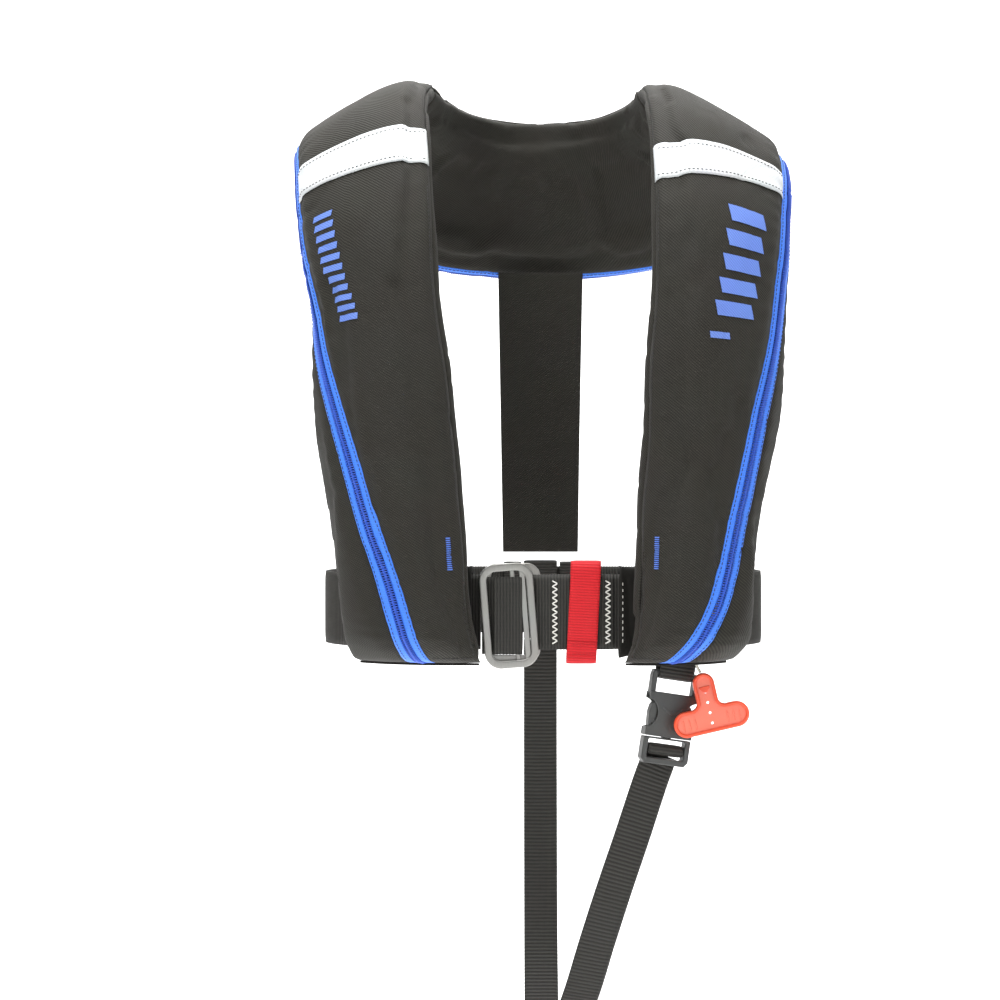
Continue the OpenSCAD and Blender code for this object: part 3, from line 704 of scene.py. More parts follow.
def back_ends(f):
    return 0.2, f.zip - ZIP_W / 2 + 1


for name, ends, a, b in (
        ("cover_front_left", front_ends, 0, SEAM_L), ("cover_front_right", front_ends, SEAM_R, END),
        ("cover_back_left", back_ends, 0, SEAM_L), ("cover_back_right", back_ends, SEAM_R, END),
        ("collar_outer", front_ends, SEAM_L + 0.01, SEAM_R - 0.01),
        ("collar_inner", back_ends, SEAM_L + 0.01, SEAM_R - 0.01)):
    panel = layer(name + "_cloth", rows_between(a, b), ends, 40, 0, COVER_WALL, FABRIC, [name])


def hem(name, s, way, node, holes=()):
    """The plate that closes a lobe's lower end. The left one has the cord's hole."""
    f = section(s)
    uv = f.outline(np.linspace(0, 350, 36), 1.2)
    uv[:, 1] += f.crown * (1 - (2 * uv[:, 0] / f.width) ** 2)
    normal = np.cross(f.across, f.outward)
    matrix = frame_of(f.centre + normal * way, f.across, f.outward, normal)
    plate(name, [uv] + list(holes), 1.5, 0.5, matrix, FABRIC, "jacket", [node])


cord_exit = np.array([100.5, -100.8, -403]) - section(0).centre
cord_hole = circle(cord_exit @ section(0).across, cord_exit @ section(0).outward, 2.2)
hem("hem_left_cloth", 0, 1.05, "hem_left", [cord_hole])
hem("hem_right_cloth", END, -1.05, "hem_right")


# ---- Zip ----
all_rows = rows_between(0, END, 0.04)
TAPE_FROM = COIL_W / 2 - 0.4
for name, start, end in (("zip_tape_outer", TAPE_FROM, ZIP_W / 2),
                         ("zip_tape_inner", -ZIP_W / 2, -TAPE_FROM)):
    layer(name + "_woven", all_rows, lambda f: (f.zip + start, f.zip + end), 7, 0.45, 0.8, TAPE, [name],
          edge_drop=0.25)


def zip_place(f, above):
    return f.place(np.array([f.zip]), -above)[0]


def zip_teeth():
    """The closed coil: interlocked turns from either side, on a narrow strip."""
    spots = [on_cover(s, [section(s).zip, section(s).zip + 1], 0.5) for s in all_rows]
    centre = np.array([pair[0] for pair in spots])
    places = lengths_along(centre)
    wanted = np.arange(COIL_PITCH / 2, places[-1], COIL_PITCH)
    middle = resample(centre, places, wanted)
    across = unit(resample([unit(pair[1] - pair[0]) for pair in spots], places, wanted))
    out = [zip_place(section(s), 1) - zip_place(section(s), 0) for s in all_rows]
    out = unit(resample(out, places, wanted))
    shift = unit(np.gradient(middle, axis=0)) * COIL_PITCH / 4
    shapes = [tube(centre, 0.9, sides=6)]
    for side in (-1, 1):
        for m, a, o, d in zip(middle, across, out, shift):
            turn = [m + d * side + a * side * x + o * z for x, z in
                    ((2.7, -0.1), (2.45, 0.45), (1.2, 0.7), (-0.1, 0.6), (-0.6, 0.0))]
            shapes.append(tube(turn, 0.42, sides=6))
    return joined(shapes)


piece("zip_coil_teeth", *zip_teeth(), COIL, "jacket", ["zip_coil"])

# The slider is parked at the back of the collar
slide_f = section(11.25)
slide_on = zip_place(slide_f, 1.6)
slide_run = unit(zip_place(section(11.5), 0) - zip_place(section(11), 0))
slide_out = unit(slide_f.across - slide_run * (slide_f.across @ slide_run))
slide_side = np.cross(slide_run, slide_out)
slider_top = frame_of(slide_on + slide_out * 2.0, slide_side, slide_run, slide_out)
slider_outline = [(-4, 3), (-2.6, 5), (2.6, 5), (4, 3), (3.2, -5), (-3.2, -5)]
plate("zip_slider_body", [slider_outline], 1.8, 0.5, slider_top, ZIP_METAL, "zip_slider", ["zip_slider"])
slider_bow = [slide_on + slide_run * y + slide_out * z for y, z in
              ((-3.4, 2.2), (-3.2, 3.4), (-1, 3.9), (1, 3.9), (3.2, 3.4), (3.4, 2.2))]
piece("zip_slider_bow", *tube(slider_bow, 0.7, sides=10), ZIP_METAL, "zip_slider")
pull_place = frame_of(slide_on + slide_out * 4.6, slide_side, slide_run, slide_out)
pull_loops = [[(x, y + 10) for x, y in rounded_loop(4.6, 26, 2)], circle(0, 0, 1.1)]
plate("zip_pull_tag", pull_loops, 1.4, 0.5, pull_place, TAPE, "zip_slider", ["zip_pull"])


# ---- Reflective tapes, tacks, prints and stitching ----
def on_lines(spots, above):
    """Points on the cover at (section, length) spots, with the directions straight out of them."""
    points = np.array([on_cover(f.s, q, above)[0] for f, q in spots])
    over = np.array([on_cover(f.s, q, above + 1)[0] for f, q in spots])
    return points, unit(over - points)


def along_line(rows, q_of, above):
    """A line along the cover, at the length that q_of gives for each section."""
    return on_lines([(section(s), q_of(section(s))) for s in rows], above)


def cross_line(s, q0, q1, above, slant=0.0, count=40):
    """A line across a panel, between places given from the zip and from the inner edge."""
    spots = []
    for c in np.linspace(0, 1, count):
        f = section(s + slant * c)
        start = f.zip + ZIP_W / 2 + q0
        spots.append((f, start + (f.girth - q1 - start) * c))
    return on_lines(spots, above)


def reflective(name, a, b, slant, node):
    layer(name, rows_between(a, b, 0.03), lambda f: (f.zip + ZIP_W / 2 + 0.4, f.girth - 1), 44, 0.9, 0.6,
          REFLECT, [node], edge_drop=0.3, slant=slant)
    seams = [stitch_line(*cross_line(s, 2, 3, 0.95, slant), length=1.6) for s in (a + 0.045, b - 0.045)]
    piece(name + "_stitching", *joined(seams), DARK_THREAD, "jacket")


reflective("reflective_tape_left_band", 5.46, 5.82, -0.255, "reflective_tape_left")
reflective("reflective_tape_right_band", END - 5.84, END - 5.45, 0.06, "reflective_tape_right")

seam_rows = rows_between(0.05, END - 0.05, 0.05)
seams = []
for offset in (ZIP_W / 2 - 1.6, 1.6 - ZIP_W / 2):
    seams.append(stitch_line(*along_line(seam_rows, lambda f: f.zip + offset, 0.5)))
piece("zip_stitching", *joined(seams), DARK_THREAD, "jacket")
seams = [stitch_line(*cross_line(s, 1, 1, 0.05), pitch=3.2, length=2.3, width=0.55)
         for s in (0.1, SEAM_L - 0.07, SEAM_R + 0.07, END - 0.1)]
for rows in (rows_between(0.1, 5.2), rows_between(END - 5.2, END - 0.1)):
    seams.append(stitch_line(*along_line(rows, lambda f: f.girth - 4.5, 0.02), length=1.8))
piece("cover_stitching", *joined(seams), DARK_THREAD, "jacket")


def tack(s0, s1, from_edge, width=2.6, strands=16):
    """A bar of dense satin stitches."""
    shapes = []
    for s in np.linspace(s0, s1, strands):
        f = section(s)
        q = f.girth - from_edge + np.array([0, 0.25, 0.5, 0.75, 1]) * width
        height = np.array([0.0, 0.45, 0.6, 0.45, 0.0])
        line = np.array([on_cover(s, [a], h)[0] for a, h in zip(q, height)])
        shapes.append(tube(line, 0.42, sides=6))
    return joined(shapes)


piece("bar_tack_threads", *joined([tack(1.45, 1.75, 15), tack(END - 1.75, END - 1.45, 15)]), TACK, "jacket",
      ["bar_tacks"])


def printed(name, bars):
    """Flat blocks of ink: each bar is (s, half length in s, q from the zip, width, slant)."""
    shapes = []
    flats = []
    for s, half, start, width, slant in bars:
        rows = np.linspace(s - half, s + half, 5)
        columns = np.linspace(0, 1, 14)
        block = []
        for row in rows:
            f = section(row)
            q = f.zip + ZIP_W / 2 + start + slant * (row - s) + columns * width
            block.append(on_cover(row, q, 0.45))
            flats.append(np.stack([q, np.full(14, row * 60)], axis=1))
        shapes.append((np.concatenate(block), grid_faces(5, 14)))
    points, faces = joined(shapes)
    return piece(name, points, faces, PRINT, "jacket", uv=np.concatenate(flats))


printed("print_left_lobe", [(4.96 - 0.235 * i, 0.075, 21, 26, 25) for i in range(5)]
        + [(3.76, 0.03, 34, 13, 25)])
printed("print_right_lobe", [(END - 5.06 + 0.108 * i, 0.031, 19.5, 15, -25) for i in range(11)])

# ---- Inside the cover ----
def bladder_edge(s, full):
    return np.interp(min(s, END - s), [1.55, 2.1, 3.4, 4.4], [-30, -9, -9, full])


def bladder_shape():
    rings = []
    inset = 4.8
    turn = turns(64)
    for s in np.linspace(0.8, END - 0.8, 260):
        f = section(s)
        low = -f.width / 2 + inset + 3
        high = bladder_edge(s, f.width / 2 - inset - 3)
        share = np.interp(min(s, END - s), [1.55, 2.1], [0.45, 1])
        pleat = 1 - 0.05 * np.cos(turn * 9) * np.abs(np.sin(turn))
        u = (low + high) / 2 + (high - low) / 2 * power(np.cos(turn), 0.8)
        v = f.thick / 2 + 0.5 + (f.thick / 2 - inset - 3) * share * power(np.sin(turn), 0.8) * pleat
        crown = f.crown * (1 - (2 * u / f.width) ** 2)
        rings.append(f.centre + u[:, None] * f.across + (v + crown)[:, None] * f.outward)
    return capsule(rings)


piece("bladder_folded", *bladder_shape(), BLADDER, "jacket", ["bladder"])

harness_path = []
harness_side = []
for s in np.linspace(1, END - 1, 200):
    f = section(s)
    q = np.interp(-90, f.angles, f.lengths)
    three = f.place(np.array([q - 8, q, q + 8]), COVER_WALL + 1.6)
    harness_path.append(three[1])
    harness_side.append(unit(three[2] - three[0]))
band("harness_band", harness_path, harness_side, 24, 1.2, WEBBING, "jacket", ["harness_webbing"])


def line_frame(foot, way):
    """Local z along a way, as the CAD's turned parts stand."""
    z = unit(way)
    side = unit(np.cross([0, 0, 1], z)) if abs(z[2]) < 0.9999 else np.array([1.0, 0, 0])
    return frame_of(foot, np.cross(side, z), side, z)


GAS_R = 15.0
GAS_LEN = 86.0
gas_at = line_frame([115.5, -112.5, -334], [13.5, 0.5, 118])
dome = [(GAS_R * math.cos(a), 12 + GAS_LEN + GAS_R * math.sin(a)) for a in np.linspace(0, math.pi / 2, 12)]
shoulder = [(6 + (GAS_R - 6) * math.sin(a), 12 - 13.5 * math.cos(a))
            for a in np.linspace(0.1, math.pi / 2, 10)]
threads = [(6 - 0.35 * (i % 2), -12 + 0.8 * i) for i in range(12)]
gas = [(0, -12)] + threads + [(6, -2.6)] + shoulder + dome
body = [(0, -26), (12.4, -26), (13, -25.4), (13, -10.8), (14.2, -10), (15, -9.4), (15, -5.2), (14.4, -4.5),
        (6.4, -4.5), (6.4, -16), (0, -16)]


def turned(name, profile, matrix, finish, body, node, flutes=0, depth=0.0):
    """A turned piece, whose outer wall may have flutes."""
    points, faces = lathe(profile, 96 if flutes else 48)
    if flutes:
        turn = np.arctan2(points[:, 1], points[:, 0])
        wall = np.hypot(points[:, 0], points[:, 1]) > 8
        points[:, :2] *= (1 - depth * np.clip(np.cos(turn * flutes), 0, 1) ** 4 * wall)[:, None]
    piece(name, *moved((points, faces), matrix), finish, body, [node])


turned("gas_cylinder_steel", gas, gas_at, GAS_STEEL, "gas_cylinder", "gas_cylinder")
turned("inflator_body_moulded", body, gas_at, PLASTIC, "jacket", "inflator_body")
sensor = [(0, -41), (11, -41), (12, -40), (12, -30), (12, -27.4), (11.4, -26.6), (0, -26.6)]
turned("water_sensor_cap_ribbed", sensor, gas_at, YELLOW, "sensor_cap", "water_sensor_cap", 6, 0.12)
flange_f = section(1.1)
flange_up = 5 + flange_f.crown * (1 - (26 / flange_f.width) ** 2)
flange_on = flange_f.centre + flange_f.across * 13 + flange_f.outward * flange_up
flange_along = np.cross(flange_f.outward, flange_f.across)
flange_at = frame_of(flange_on, flange_f.across, flange_along, flange_f.outward)
flange = [(0, 0), (10.6, 0), (11, 0.4), (11, 1.4), (10.4, 1.8), (7, 1.8), (6.6, 1.4), (0, 1.4)]
turned("inflator_flange_moulded", flange, flange_at, PLASTIC, "jacket", "inflator_flange")

LEVER_TURN = 22.7
lever_at = frame_of([96.5, -118, -356], level(LEVER_TURN), (0, 0, 1), level(LEVER_TURN - 90))
lever_outline = arc(0, 0, 3.3, 140, 400, 21) + [(2.5, 21.5), (1.6, 23), (-1.6, 23), (-2.5, 21.5)]
plate("inflator_lever_moulded", [lever_outline, circle(0, 0, 1.1)], 4, 0.5, lever_at, RED_PLASTIC,
      "inflator_lever", ["inflator_lever"])

tube_at = line_frame([-108, -114, -338], [-12, 1, 106])
mouth = [(1.9, 0), (8.6, 0), (9, 0.5), (9, 2.6), (5.4, 3.4), (5, 4), (5, 76), (6.2, 76.6), (6.4, 77),
         (6.4, 87), (6, 88), (5, 88.4), (5, 91.4), (4.4, 92), (1.9, 92), (1.9, 0)]
turned("oral_tube_moulded", mouth, tube_at, PLASTIC, "jacket", "oral_tube")
cap = [(0, 97.6), (6.8, 97.6), (7.4, 97), (7.4, 89.2), (6.8, 88.6), (5.4, 88.6), (5.4, 92.3), (0, 92.3)]
turned("oral_tube_cap_moulded", cap[::-1], tube_at, PLASTIC, "tube_cap", "oral_tube_cap", 16, 0.03)

WHISTLE_TURN = 25
whistle_at = frame_of([-129, -106, -308], level(WHISTLE_TURN + 90), (0, 0, 1), level(WHISTLE_TURN))
whistle_outline = arc(0, 0, 8, 130, 420, 30) + [(4, 12), (4, 25), (3.4, 26), (-3.4, 26), (-4, 25), (-4, 9)]
plate("whistle_moulded", [whistle_outline, rounded_loop(2.4, 2.4, 1)], 10, 0.8, whistle_at, ORANGE, "jacket",
      ["whistle"])
clip_on = tube_at @ Matrix.Translation((0, 0, 48.5 * MM))
ARM_DEGREES = -28
clip_outline = arc(0, 0, 7.6, ARM_DEGREES + 23, ARM_DEGREES + 337, 30)
arm_x = level(ARM_DEGREES)[:2]
arm_y = level(ARM_DEGREES + 90)[:2]
clip_outline += [tuple(arm_x * 10.4 - arm_y * 2.8), tuple(arm_x * 10.4 + arm_y * 2.8)]
plate("whistle_clip_moulded", [clip_outline, circle(0, 0, 5.3)], 5, 0.6, clip_on, PLASTIC, "jacket",
      ["whistle_clip"])


# ---- Waist belt ----
def waist_point(turn):
    a = np.radians(turn)
    x = WAIST_X * power(np.sin(a), 2 / BELT_POWER)
    return np.stack([x, -WAIST_Y * power(np.cos(a), 2 / BELT_POWER)], axis=-1)


def on_waist(turn, out, z=BELT_Z):
    """Points on the belt's path, moved out from it."""
    turn = np.atleast_1d(np.asarray(turn, float))
    way = unit(waist_point(turn + 0.2) - waist_point(turn - 0.2))
    flat = waist_point(turn) + np.stack([way[:, 1], -way[:, 0]], axis=1) * out
    return np.column_stack([flat, np.full(len(flat), z)])


def turn_at(x):
    return np.degrees(np.arcsin(power(np.asarray(x, float) / WAIST_X, BELT_POWER / 2)))


UP = (0, 0, 1)
FOLD = 2.8
REAR_X = -22.5
REAR_BAR = -6.0
belt_turns = np.linspace(turn_at(8), 360 + turn_at(-43.2), 600)
band("waist_belt_webbing", on_waist(belt_turns, 0), UP, BELT_W, BELT_T, WEBBING, "jacket", ["waist_belt"],
     rib=0.6)

fold_front = on_waist(turn_at(np.linspace(44, REAR_BAR, 30)), FOLD)
bend = np.radians(np.linspace(-90, -270, 14))[1:-1]
fold_bend = np.column_stack([REAR_BAR + FOLD * np.cos(bend), -WAIST_Y + FOLD * np.sin(bend),
                             np.full(len(bend), BELT_Z)])
fold_path = np.vstack([fold_front, fold_bend, on_waist(turn_at(np.linspace(REAR_BAR, 44, 30)), -FOLD)])
band("belt_loop_fixed_webbing", fold_path, UP, BELT_W, BELT_T, WEBBING, "jacket", ["belt_loop_fixed"],
     rib=0.6)


def zigzag(x):
    """A row of zigzag thread on the folded belt."""
    heights = BELT_Z + 1.9 * (np.arange(23) - 11)
    sides = x + 1.7 * (2 * (np.arange(23) % 2) - 1)
    line = [on_waist(turn_at(px), FOLD + BELT_T / 2 + 0.15, z)[0] for px, z in zip(sides, heights)]
    places = lengths_along(line)
    return tube(resample(line, places, np.linspace(0, places[-1], 120)), 0.45, sides=8)


piece("belt_zigzag_thread", *joined([zigzag(6), zigzag(41)]), THREAD, "jacket", ["belt_stitching"])


def frame_ring(width, height, bar, thick, corner):
    """A closed frame bent from bar, in its own x-z plane, with softly rounded edges."""
    path = np.array(rounded_loop(width - bar, height - bar, corner - bar / 2, steps=12))
    along = tangents(path, True)
    out = np.stack([along[:, 1], -along[:, 0]], axis=1)
    turn = turns(40)
    a = bar / 2 * power(np.cos(turn), 0.32)
    b = thick / 2 * power(np.sin(turn), 0.32)
    flat = path[:, None] + out[:, None] * a[None, :, None]
    rings = np.stack([flat[..., 0], np.broadcast_to(b, flat.shape[:2]), flat[..., 1]], axis=-1)
    return rings.reshape(-1, 3), grid_faces(len(path), len(turn), ring=True, loop=True)


rear_at = frame_of([REAR_X, -WAIST_Y, BELT_Z - 0.4], (1, 0, 0), (0, 1, 0), (0, 0, 1))
piece("buckle_rear_steel", *moved(frame_ring(38, 66, STEEL_W, 3.2, 9), rear_at), STEEL, "jacket",
      ["buckle_frame_rear"])
FRONT = np.array([-24.5, -WAIST_Y - 6.4, BELT_Z - 2.2])
front_x, front_z = leaning(-4.5)
front_at = frame_of(FRONT, front_x, (0, 1, 0), front_z)
piece("buckle_front_steel", *moved(frame_ring(36, 69.5, STEEL_W, 3.6, 11), front_at), STEEL, "buckle_front",
      ["buckle_frame_front"])
bar_face = frame_of(FRONT + front_x * 4.2 + np.array([0, 1.6, 0]), front_x, front_z, (0, -1, 0))
plate("buckle_cross_bar", [rounded_loop(3, 63, 1.2)], 1.6, 0.5, bar_face, STEEL, "buckle_front")
strip_face = bar_face @ Matrix.Translation((6.6 * MM, 0, 1.2 * MM))
plate("buckle_bare_strip", [rounded_loop(3.8, 61, 0.6)], 1.4, 0.4, strip_face, STEEL, "buckle_front")

lead = FRONT[1] + 0.6
back = lead + 2.0
bar_right = FRONT[0] + 4.2 + 1.5 + 2
bar_left = FRONT[0] - 18
adjust = [(bar_left, back + 0.85), (bar_right - 1, back + 0.85), (bar_right + 0.6, back + 0.2),
          (bar_right + 0.85, (lead + back) / 2), (bar_right + 0.6, lead - 0.2), (bar_right - 1, lead - 0.85),
          (bar_left + STEEL_W + 3, lead - 0.85)]
adjust_path = smooth_path([(x, y, FRONT[2]) for x, y in adjust], 6)
band("belt_loop_adjust_webbing", adjust_path, UP, BELT_W + 1.5, 1.6, WEBBING, "buckle_front",
     ["belt_loop_adjust"], rib=0.5)


def sleeve(mirror):
    """A flared fabric tunnel round the belt where it enters a lobe."""
    rings = []
    xs = np.linspace(49, 67, 16)
    turn = turns(48)
    for layer_out in (1.4, 0.0):
        for x in xs:
            flare = 1.4 * math.exp(-((x - 49) / 4) ** 2)
            gap = 1.9 + layer_out + flare + 0.3 * np.sin(turn * 5 + x)
            z = BELT_Z + (28 + layer_out + flare) * power(np.sin(turn), 0.35)
            out = gap * power(np.cos(turn), 0.9)
            base = on_waist(turn_at(x), 0)[0]
            side = on_waist(turn_at(x), 1)[0] - base
            ring = base + side * out[:, None]
            ring[:, 2] = z
            rings.append(ring)
    columns = len(turn)
    half = len(xs) * columns
    faces = grid_faces(len(xs), columns, ring=True)
    faces += [f[::-1] for f in grid_faces(len(xs), columns, ring=True, first=half)]
    for start in (0, (len(xs) - 1) * columns):
        for j in range(columns):
            k = (j + 1) % columns
            faces.append((start + k, start + j, half + start + j, half + start + k))
    points = np.concatenate(rings)
    if mirror:
        points[:, 0] *= -1
        faces = [f[::-1] for f in faces]
    return points, faces


piece("belt_sleeve_left_cloth", *sleeve(False), FABRIC, "jacket", ["belt_sleeve_left"])
piece("belt_sleeve_right_cloth", *sleeve(True), FABRIC, "jacket", ["belt_sleeve_right"])
sleeve_line = np.array([on_waist(turn_at(50.6), FOLD + 1.6, z)[0] for z in np.linspace(-392, -345, 30)])
sleeve_out = on_waist(turn_at(50.6), 1)[0] - on_waist(turn_at(50.6), 0)[0]
sleeve_stitches = stitch_line(sleeve_line, np.tile(sleeve_out, (30, 1)), pitch=4.2, length=2.4, width=0.55)
piece("belt_sleeve_stitching", *sleeve_stitches, THREAD, "jacket")


def ring_path(half, inner_h, t):
    """The middle of a band that goes round a belt, in its y-z plane."""
    return np.array(rounded_loop(2 * half + t, inner_h + t, half + t / 2 - 0.3, steps=10))


def belt_keeper(name, x, y, width, half, inner_h, t, nodes, body="jacket", finish=WEBBING, pitch=2.0,
                lean=0.0):
    """A closed loop round the belt, which may lean sideways."""
    flat = ring_path(half, inner_h, t)
    path = np.column_stack([x + lean * flat[:, 1], y + flat[:, 0], BELT_Z + flat[:, 1]])
    band(name, path, (1, 0, 0), width, t, finish, body, nodes, pitch=pitch, rib=0.3, loop=True)


LOOP_X = 25.2
LOOP_LEAN = 0.05
loop_y = float(waist_point(turn_at(LOOP_X))[1])
LOOP_HALF = FOLD + BELT_T / 2 + 0.9
belt_keeper("tether_loop_webbing", LOOP_X, loop_y, 20, LOOP_HALF, 65.4, 1.8, ["tether_loop"], "tether_loop",
            RED_WEB, 1.8, LOOP_LEAN)
lap_y = loop_y - LOOP_HALF - 2.1
lap_path = np.array([[LOOP_X + LOOP_LEAN * h, lap_y - 0.2, BELT_Z + h] for h in np.linspace(-29, -20, 8)])
band("tether_loop_lap", lap_path, (1, 0, 0), 19.6, 0.8, RED_WEB, "tether_loop", pitch=1.8, rib=0.25)
lap_lines = []
for z in (BELT_Z - 27.5, BELT_Z - 21.5):
    line = np.array([[x, lap_y - 0.7, z] for x in np.linspace(LOOP_X - 9, LOOP_X + 9, 12)])
    lap_lines.append(stitch_line(line, np.tile([0.0, -1, 0], (12, 1)), pitch=2.2, length=1.5, width=0.45))
piece("tether_loop_stitching", *joined(lap_lines), RED_WEB, "tether_loop")
belt_keeper("yoke_loop_1", -21, 104.6, 13, 2.0, 54, 1.6, ["yoke_loops"])
belt_keeper("yoke_loop_2", 21, 104.6, 13, 2.0, 54, 1.6, [])
belt_keeper("crotch_strap_anchor_webbing", 0, WAIST_Y, STRAP_W, 1.8, 56, 1.6, ["crotch_strap_anchor"])

# ---- Back yoke ----
YOKE_TOP = -123.0
YOKE_BOTTOM = -333.0


def yoke_surface():
    rows = 60
    columns = 36
    front = []
    rear = []
    uv = []
    for i in range(rows):
        z = YOKE_TOP + (YOKE_BOTTOM - YOKE_TOP) * i / (rows - 1)
        share = (z + 113) / -230
        half = 32 - 4 * min(1, max(0, share))
        x = np.linspace(-half, half, columns)
        y = 104 + 8 * math.sin(math.pi * (z + 118) / -220)
        ripple = np.array([0.7 * noise.noise(Vector((a / 18, z / 26, 2.0))) for a in x])
        rim = 1 - 0.5 * np.exp(-((half - np.abs(x)) / 2.5) ** 2)
        front.append(np.stack([x, y - 1 + ripple - 0.9 * rim, np.full(columns, z)], axis=1))
        rear.append(np.stack([x, y - 1 + ripple + 0.9 * rim, np.full(columns, z)], axis=1))
        uv.append(np.stack([x, np.full(columns, z)], axis=1))
    return np.concatenate(front + rear), slab_faces(rows, columns), np.concatenate(uv * 2)


points, faces, uv = yoke_surface()
yoke = piece("back_yoke_cloth", points, faces, FABRIC, "jacket", ["back_yoke"], uv=uv)

# ---- Crotch strap and its side-release buckle ----
CLIP = np.array([80.7, -95, -453.4])
clip_turn = Matrix.Rotation(math.radians(18), 4, "Z") @ Matrix.Rotation(math.radians(9), 4, "Y")
clip_x, clip_y, clip_z = (np.array(clip_turn.col[i][:3]) for i in range(3))


def clip_face(depth, z=0.0):
    """A drawing plane on the buckle: x across, y up the strap, and its thickness towards the front."""
    return frame_of(CLIP - clip_y * depth + clip_z * z, clip_x, clip_z, -clip_y)


def in_clip(points):
    points = np.asarray(points, float)
    return CLIP + points[:, :1] * clip_x + points[:, 1:2] * clip_y + points[:, 2:] * clip_z


def clip_bar(name, half, z, radius, body):
    """A round bar across the buckle."""
    line = in_clip([(x, 0, z) for x in np.linspace(-half, half, 12)])
    piece(name, *tube(line, radius, sides=20), PLASTIC, body)


def female_outline():
    """Half of a shell with its finger window, mirrored."""
    right = [(16.6, 0.4), (17, 1.5), (17, 5.4)]
    for a in np.radians(np.linspace(-82, 82, 16)):
        right.append((17.8 - 8.0 * math.cos(a), 15.5 + 9.6 * math.sin(a)))
    right += [(17, 25.6), (17, 29), (15.8, 30)]
    return right + [(-x, y) for x, y in reversed(right)]


for name, depth, nodes in (("front", 3.5, ["crotch_buckle_female"]), ("rear", -3.5, [])):
    plate("crotch_female_" + name, [female_outline()], 1.4, 0.5, clip_face(depth), PLASTIC, "jacket", nodes)
plate("crotch_female_block", [rounded_loop(32, 3.0, 0.8)], 6.4, 0.6, clip_face(0, 28.4), PLASTIC, "jacket")
plate("crotch_female_ridge", [[(-7, 7), (0, 3.4), (7, 7), (7, 9), (0, 5.4), (-7, 9)]], 0.7, 0.25,
      clip_face(4.3, 12), PLASTIC, "jacket")
for k, x in enumerate((-15, 15)):
    arm_loop = [(x - 1.9, 29), (x + 1.9, 29), (x + 1.9, 41), (x + 1, 44), (x - 1, 44), (x - 1.9, 41)]
    plate(f"crotch_female_arm_{k + 1}", [arm_loop], 6, 0.7, clip_face(0), PLASTIC, "jacket")
    wall = [(x * 1.08 + a, b) for a, b in ((-0.6, 0.4), (0.6, 0.4), (0.6, 6), (-0.6, 6))]
    plate(f"crotch_female_wall_{k + 1}", [wall], 6.4, 0.3, clip_face(0), PLASTIC, "jacket")
clip_bar("crotch_female_bar", 16.5, 42.5, 2.2, "jacket")

male_outline = [(-16.4, -0.2), (-17, -1), (-17, -15), (-14.4, -18)]
male_outline += [(-x, y) for x, y in reversed(male_outline)]
male_hole = [(x, y - 7.65) for x, y in rounded_loop(26.6, 12.5, 1.2)]
plate("crotch_male_body", [male_outline, male_hole], 7.6, 0.9, clip_face(0), PLASTIC, "crotch_male",
      ["crotch_buckle_male"])
clip_bar("crotch_male_bar", 14, -8.1, 2.1, "crotch_male")
plate("crotch_male_guide", [[(-3, -1), (3, -1), (3, 20), (2, 22), (-2, 22), (-3, 20)]], 4, 0.5, clip_face(0),
      PLASTIC, "crotch_male")
prong_loop = [(9, 0.4), (13.5, 0.4), (15.2, 9), (15.6, 16), (14.5, 21.5), (12, 24), (10.2, 23.5), (9.6, 10)]
prong_hole = [(10.6, 3), (12, 3), (12.6, 9), (12, 12), (11, 9)]
for side, word in ((1, "left"), (-1, "right")):
    loops = [[(side * x, y) for x, y in prong_loop], [(side * x, y) for x, y in prong_hole]]
    plate(f"crotch_prong_{word}_moulded", loops, 5, 0.35, clip_face(0), PLASTIC, f"prong_{word}",
          [f"crotch_prong_{word}"])

turn_path = in_clip([(0, 3.3 * math.sin(a), -8.1 + 3.3 * math.cos(a)) for a in turns(32)])
band("crotch_strap_turn_webbing", turn_path, clip_x, STRAP_W, 1.6, WEBBING, "crotch_male",
     ["crotch_strap_turn"], pitch=2.0, rib=0.2, loop=True)
hanger_flat = ring_path(3.5, 76.5 - STRAP_T, STRAP_T - 0.2)
hanger_path = in_clip(np.column_stack([np.zeros(len(hanger_flat)), 0.9 + hanger_flat[:, 0],
                                       77.75 + hanger_flat[:, 1]]))
band("crotch_hanger_webbing", hanger_path, clip_x, STRAP_W, 1.6, WEBBING, "jacket", ["crotch_hanger"],
     pitch=2.4, loop=True)

STRAP_ROUTE = [[77.4, -90.5, -464.5], [70, -92.5, -484], [58, -94, -520], [46, -92, -556], [35, -86, -592],
               [26, -75, -625], [17, -55, -655], [9, -30, -678], [3, 0, -690], [0, 30, -686], [0, 58, -664],
               [0, 80, -628], [0, 94, -580], [0, 102, -520], [0, 107, -460], [0, 108, -399]]
strap_path = smooth_path(STRAP_ROUTE, 8)
strap_side = [[1, max(0, 0.32 - 0.05 * i / 8), 0] for i in range(len(strap_path))]
strap = band("crotch_strap_webbing", strap_path, strap_side, STRAP_W, STRAP_T, WEBBING, "jacket",
             ["crotch_strap"], pitch=2.7)
strap.parent = None
strap.matrix_world = Matrix.Identity(4)
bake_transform(strap)

# ---- Pull handle ----
HANDLE_TOP = np.array([103.6, -103, -409.5])
handle_x, handle_z = leaning(-13)
STEM_R = 7.2
WING_R = 8.6
WING_X = 17.0
WING_Z = -31.5
FILLET = 4.5


def t_outline(inset):
    """The handle's outline: a round-topped stem over two round wings, inset all round."""
    stem = STEM_R - inset
    wing = WING_R - inset
    bend = FILLET + inset
    top = WING_Z + wing
    right = arc(0, -STEM_R, stem, 90, 0)
    right += arc(stem + bend, top + bend, bend, 180, 270)
    right += arc(WING_X, WING_Z, wing, 90, -90, 20)
    left = [(-x, y) for x, y in reversed(right)]
    return right + left[:-1]


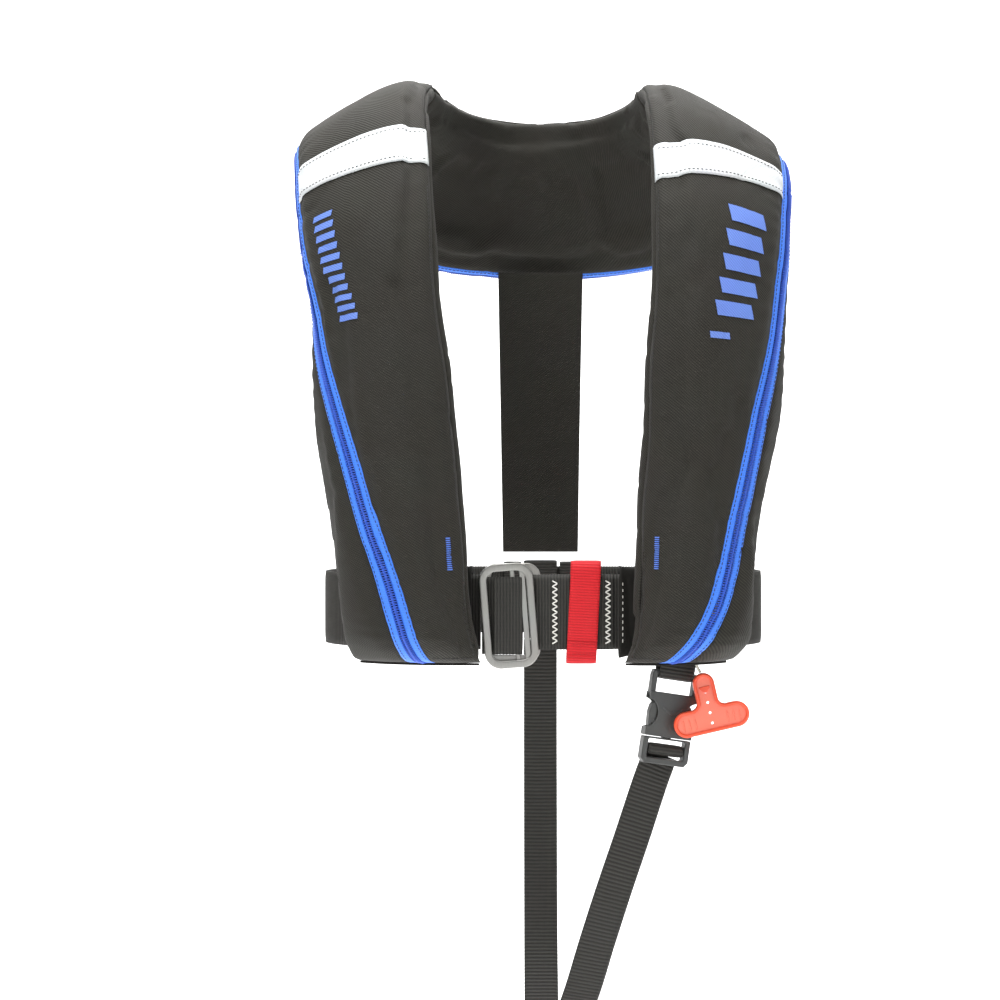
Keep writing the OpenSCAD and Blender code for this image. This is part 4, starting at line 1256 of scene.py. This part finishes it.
def handle_face(depth):
    return frame_of(HANDLE_TOP + np.array([0, -depth, 0]), handle_x, handle_z, (0, -1, 0))


small_holes = [circle(0, -6 - 7 * k, 0.9, 16) for k in range(1, 5)]
wedge = [(-3.4, -9), (3.4, -9), (3.4, -10.4), (0.6, -13.4), (-0.6, -13.4), (-3.4, -10.4)]
for name, loops, thick, bevel, finish, nodes in (
        ("pull_handle_rim", [t_outline(0), t_outline(2.4)], 5.5, 1.0, RED_PLASTIC, ["pull_handle"]),
        # the web's face carries the painted highlight, a lighter copy of the red plastic
        ("pull_handle_web", [t_outline(2.0)] + small_holes, 2.2, 0.3, HANDLE_PAINTED_HIGHLIGHT, []),
        ("pull_handle_wedge", [wedge], 3.4, 0.3, RED_PLASTIC, [])):
    plate(name, loops, thick, bevel, handle_face(0), finish, "pull_handle", nodes)
grip_marks = []
for x in (-19, -15, -11, 11, 15, 19):
    line = [(x, z, 0) for z in np.linspace(WING_Z - 4, WING_Z + 4, 6)]
    grip_marks.append(moved(tube(line, [0.2, 0.5, 0.55, 0.55, 0.5, 0.2], sides=8), handle_face(1.2)))
# the grips carry the same painted highlight
piece("pull_handle_grips", *joined(grip_marks), HANDLE_PAINTED_HIGHLIGHT, "pull_handle")


# ---- Floor, backdrop and light ----
def studio():
    """A pale floor that curves up into the backdrop."""
    profile = [(-4, -0.72), (0.9, -0.72)]
    profile += [(0.9 + math.sin(a), 0.28 - math.cos(a)) for a in np.linspace(0.1, math.pi / 2, 14)]
    profile += [(1.9, 4.0)]
    points = [(x, y, z) for y, z in profile for x in (-5, 5)]
    mesh = bpy.data.meshes.new("studio_floor")
    mesh.from_pydata(points, [], grid_faces(len(profile), 2))
    mesh.shade_smooth()
    floor = added("studio_floor", mesh)
    paper = material("studio_paper", (0.9, 0.9, 0.9), 0.9, contrast=0.01, wear=0.02, bump=0.0001)
    mesh.materials.append(paper)


studio()
CHEST = (0, -0.05, -0.3)
for name, place, aim, size, watts in (
        ("key", (-1.1, -1.6, 1.5), CHEST, 0.9, 40), ("fill", (1.7, -1.6, 0.3), CHEST, 1.4, 9),
        ("low", (0.1, -1.8, -0.6), CHEST, 0.9, 3.5),
        ("backdrop_light", (0, 0.3, 2.2), (0, 1.8, -0.3), 2.2, 190)):
    lamp = added(name, bpy.data.lights.new(name, "AREA"))
    lamp.data.energy = watts
    lamp.data.size = size
    lamp.location = place
    lamp.rotation_euler = (Vector(aim) - Vector(place)).to_track_quat("-Z", "Y").to_euler()
world = bpy.data.worlds.new("studio_air")
world.use_nodes = True
world.node_tree.nodes["Background"].inputs["Color"].default_value = (1, 1, 1, 1)
world.node_tree.nodes["Background"].inputs["Strength"].default_value = 0.24
scene.world = world
scene.view_settings.view_transform = "Standard"
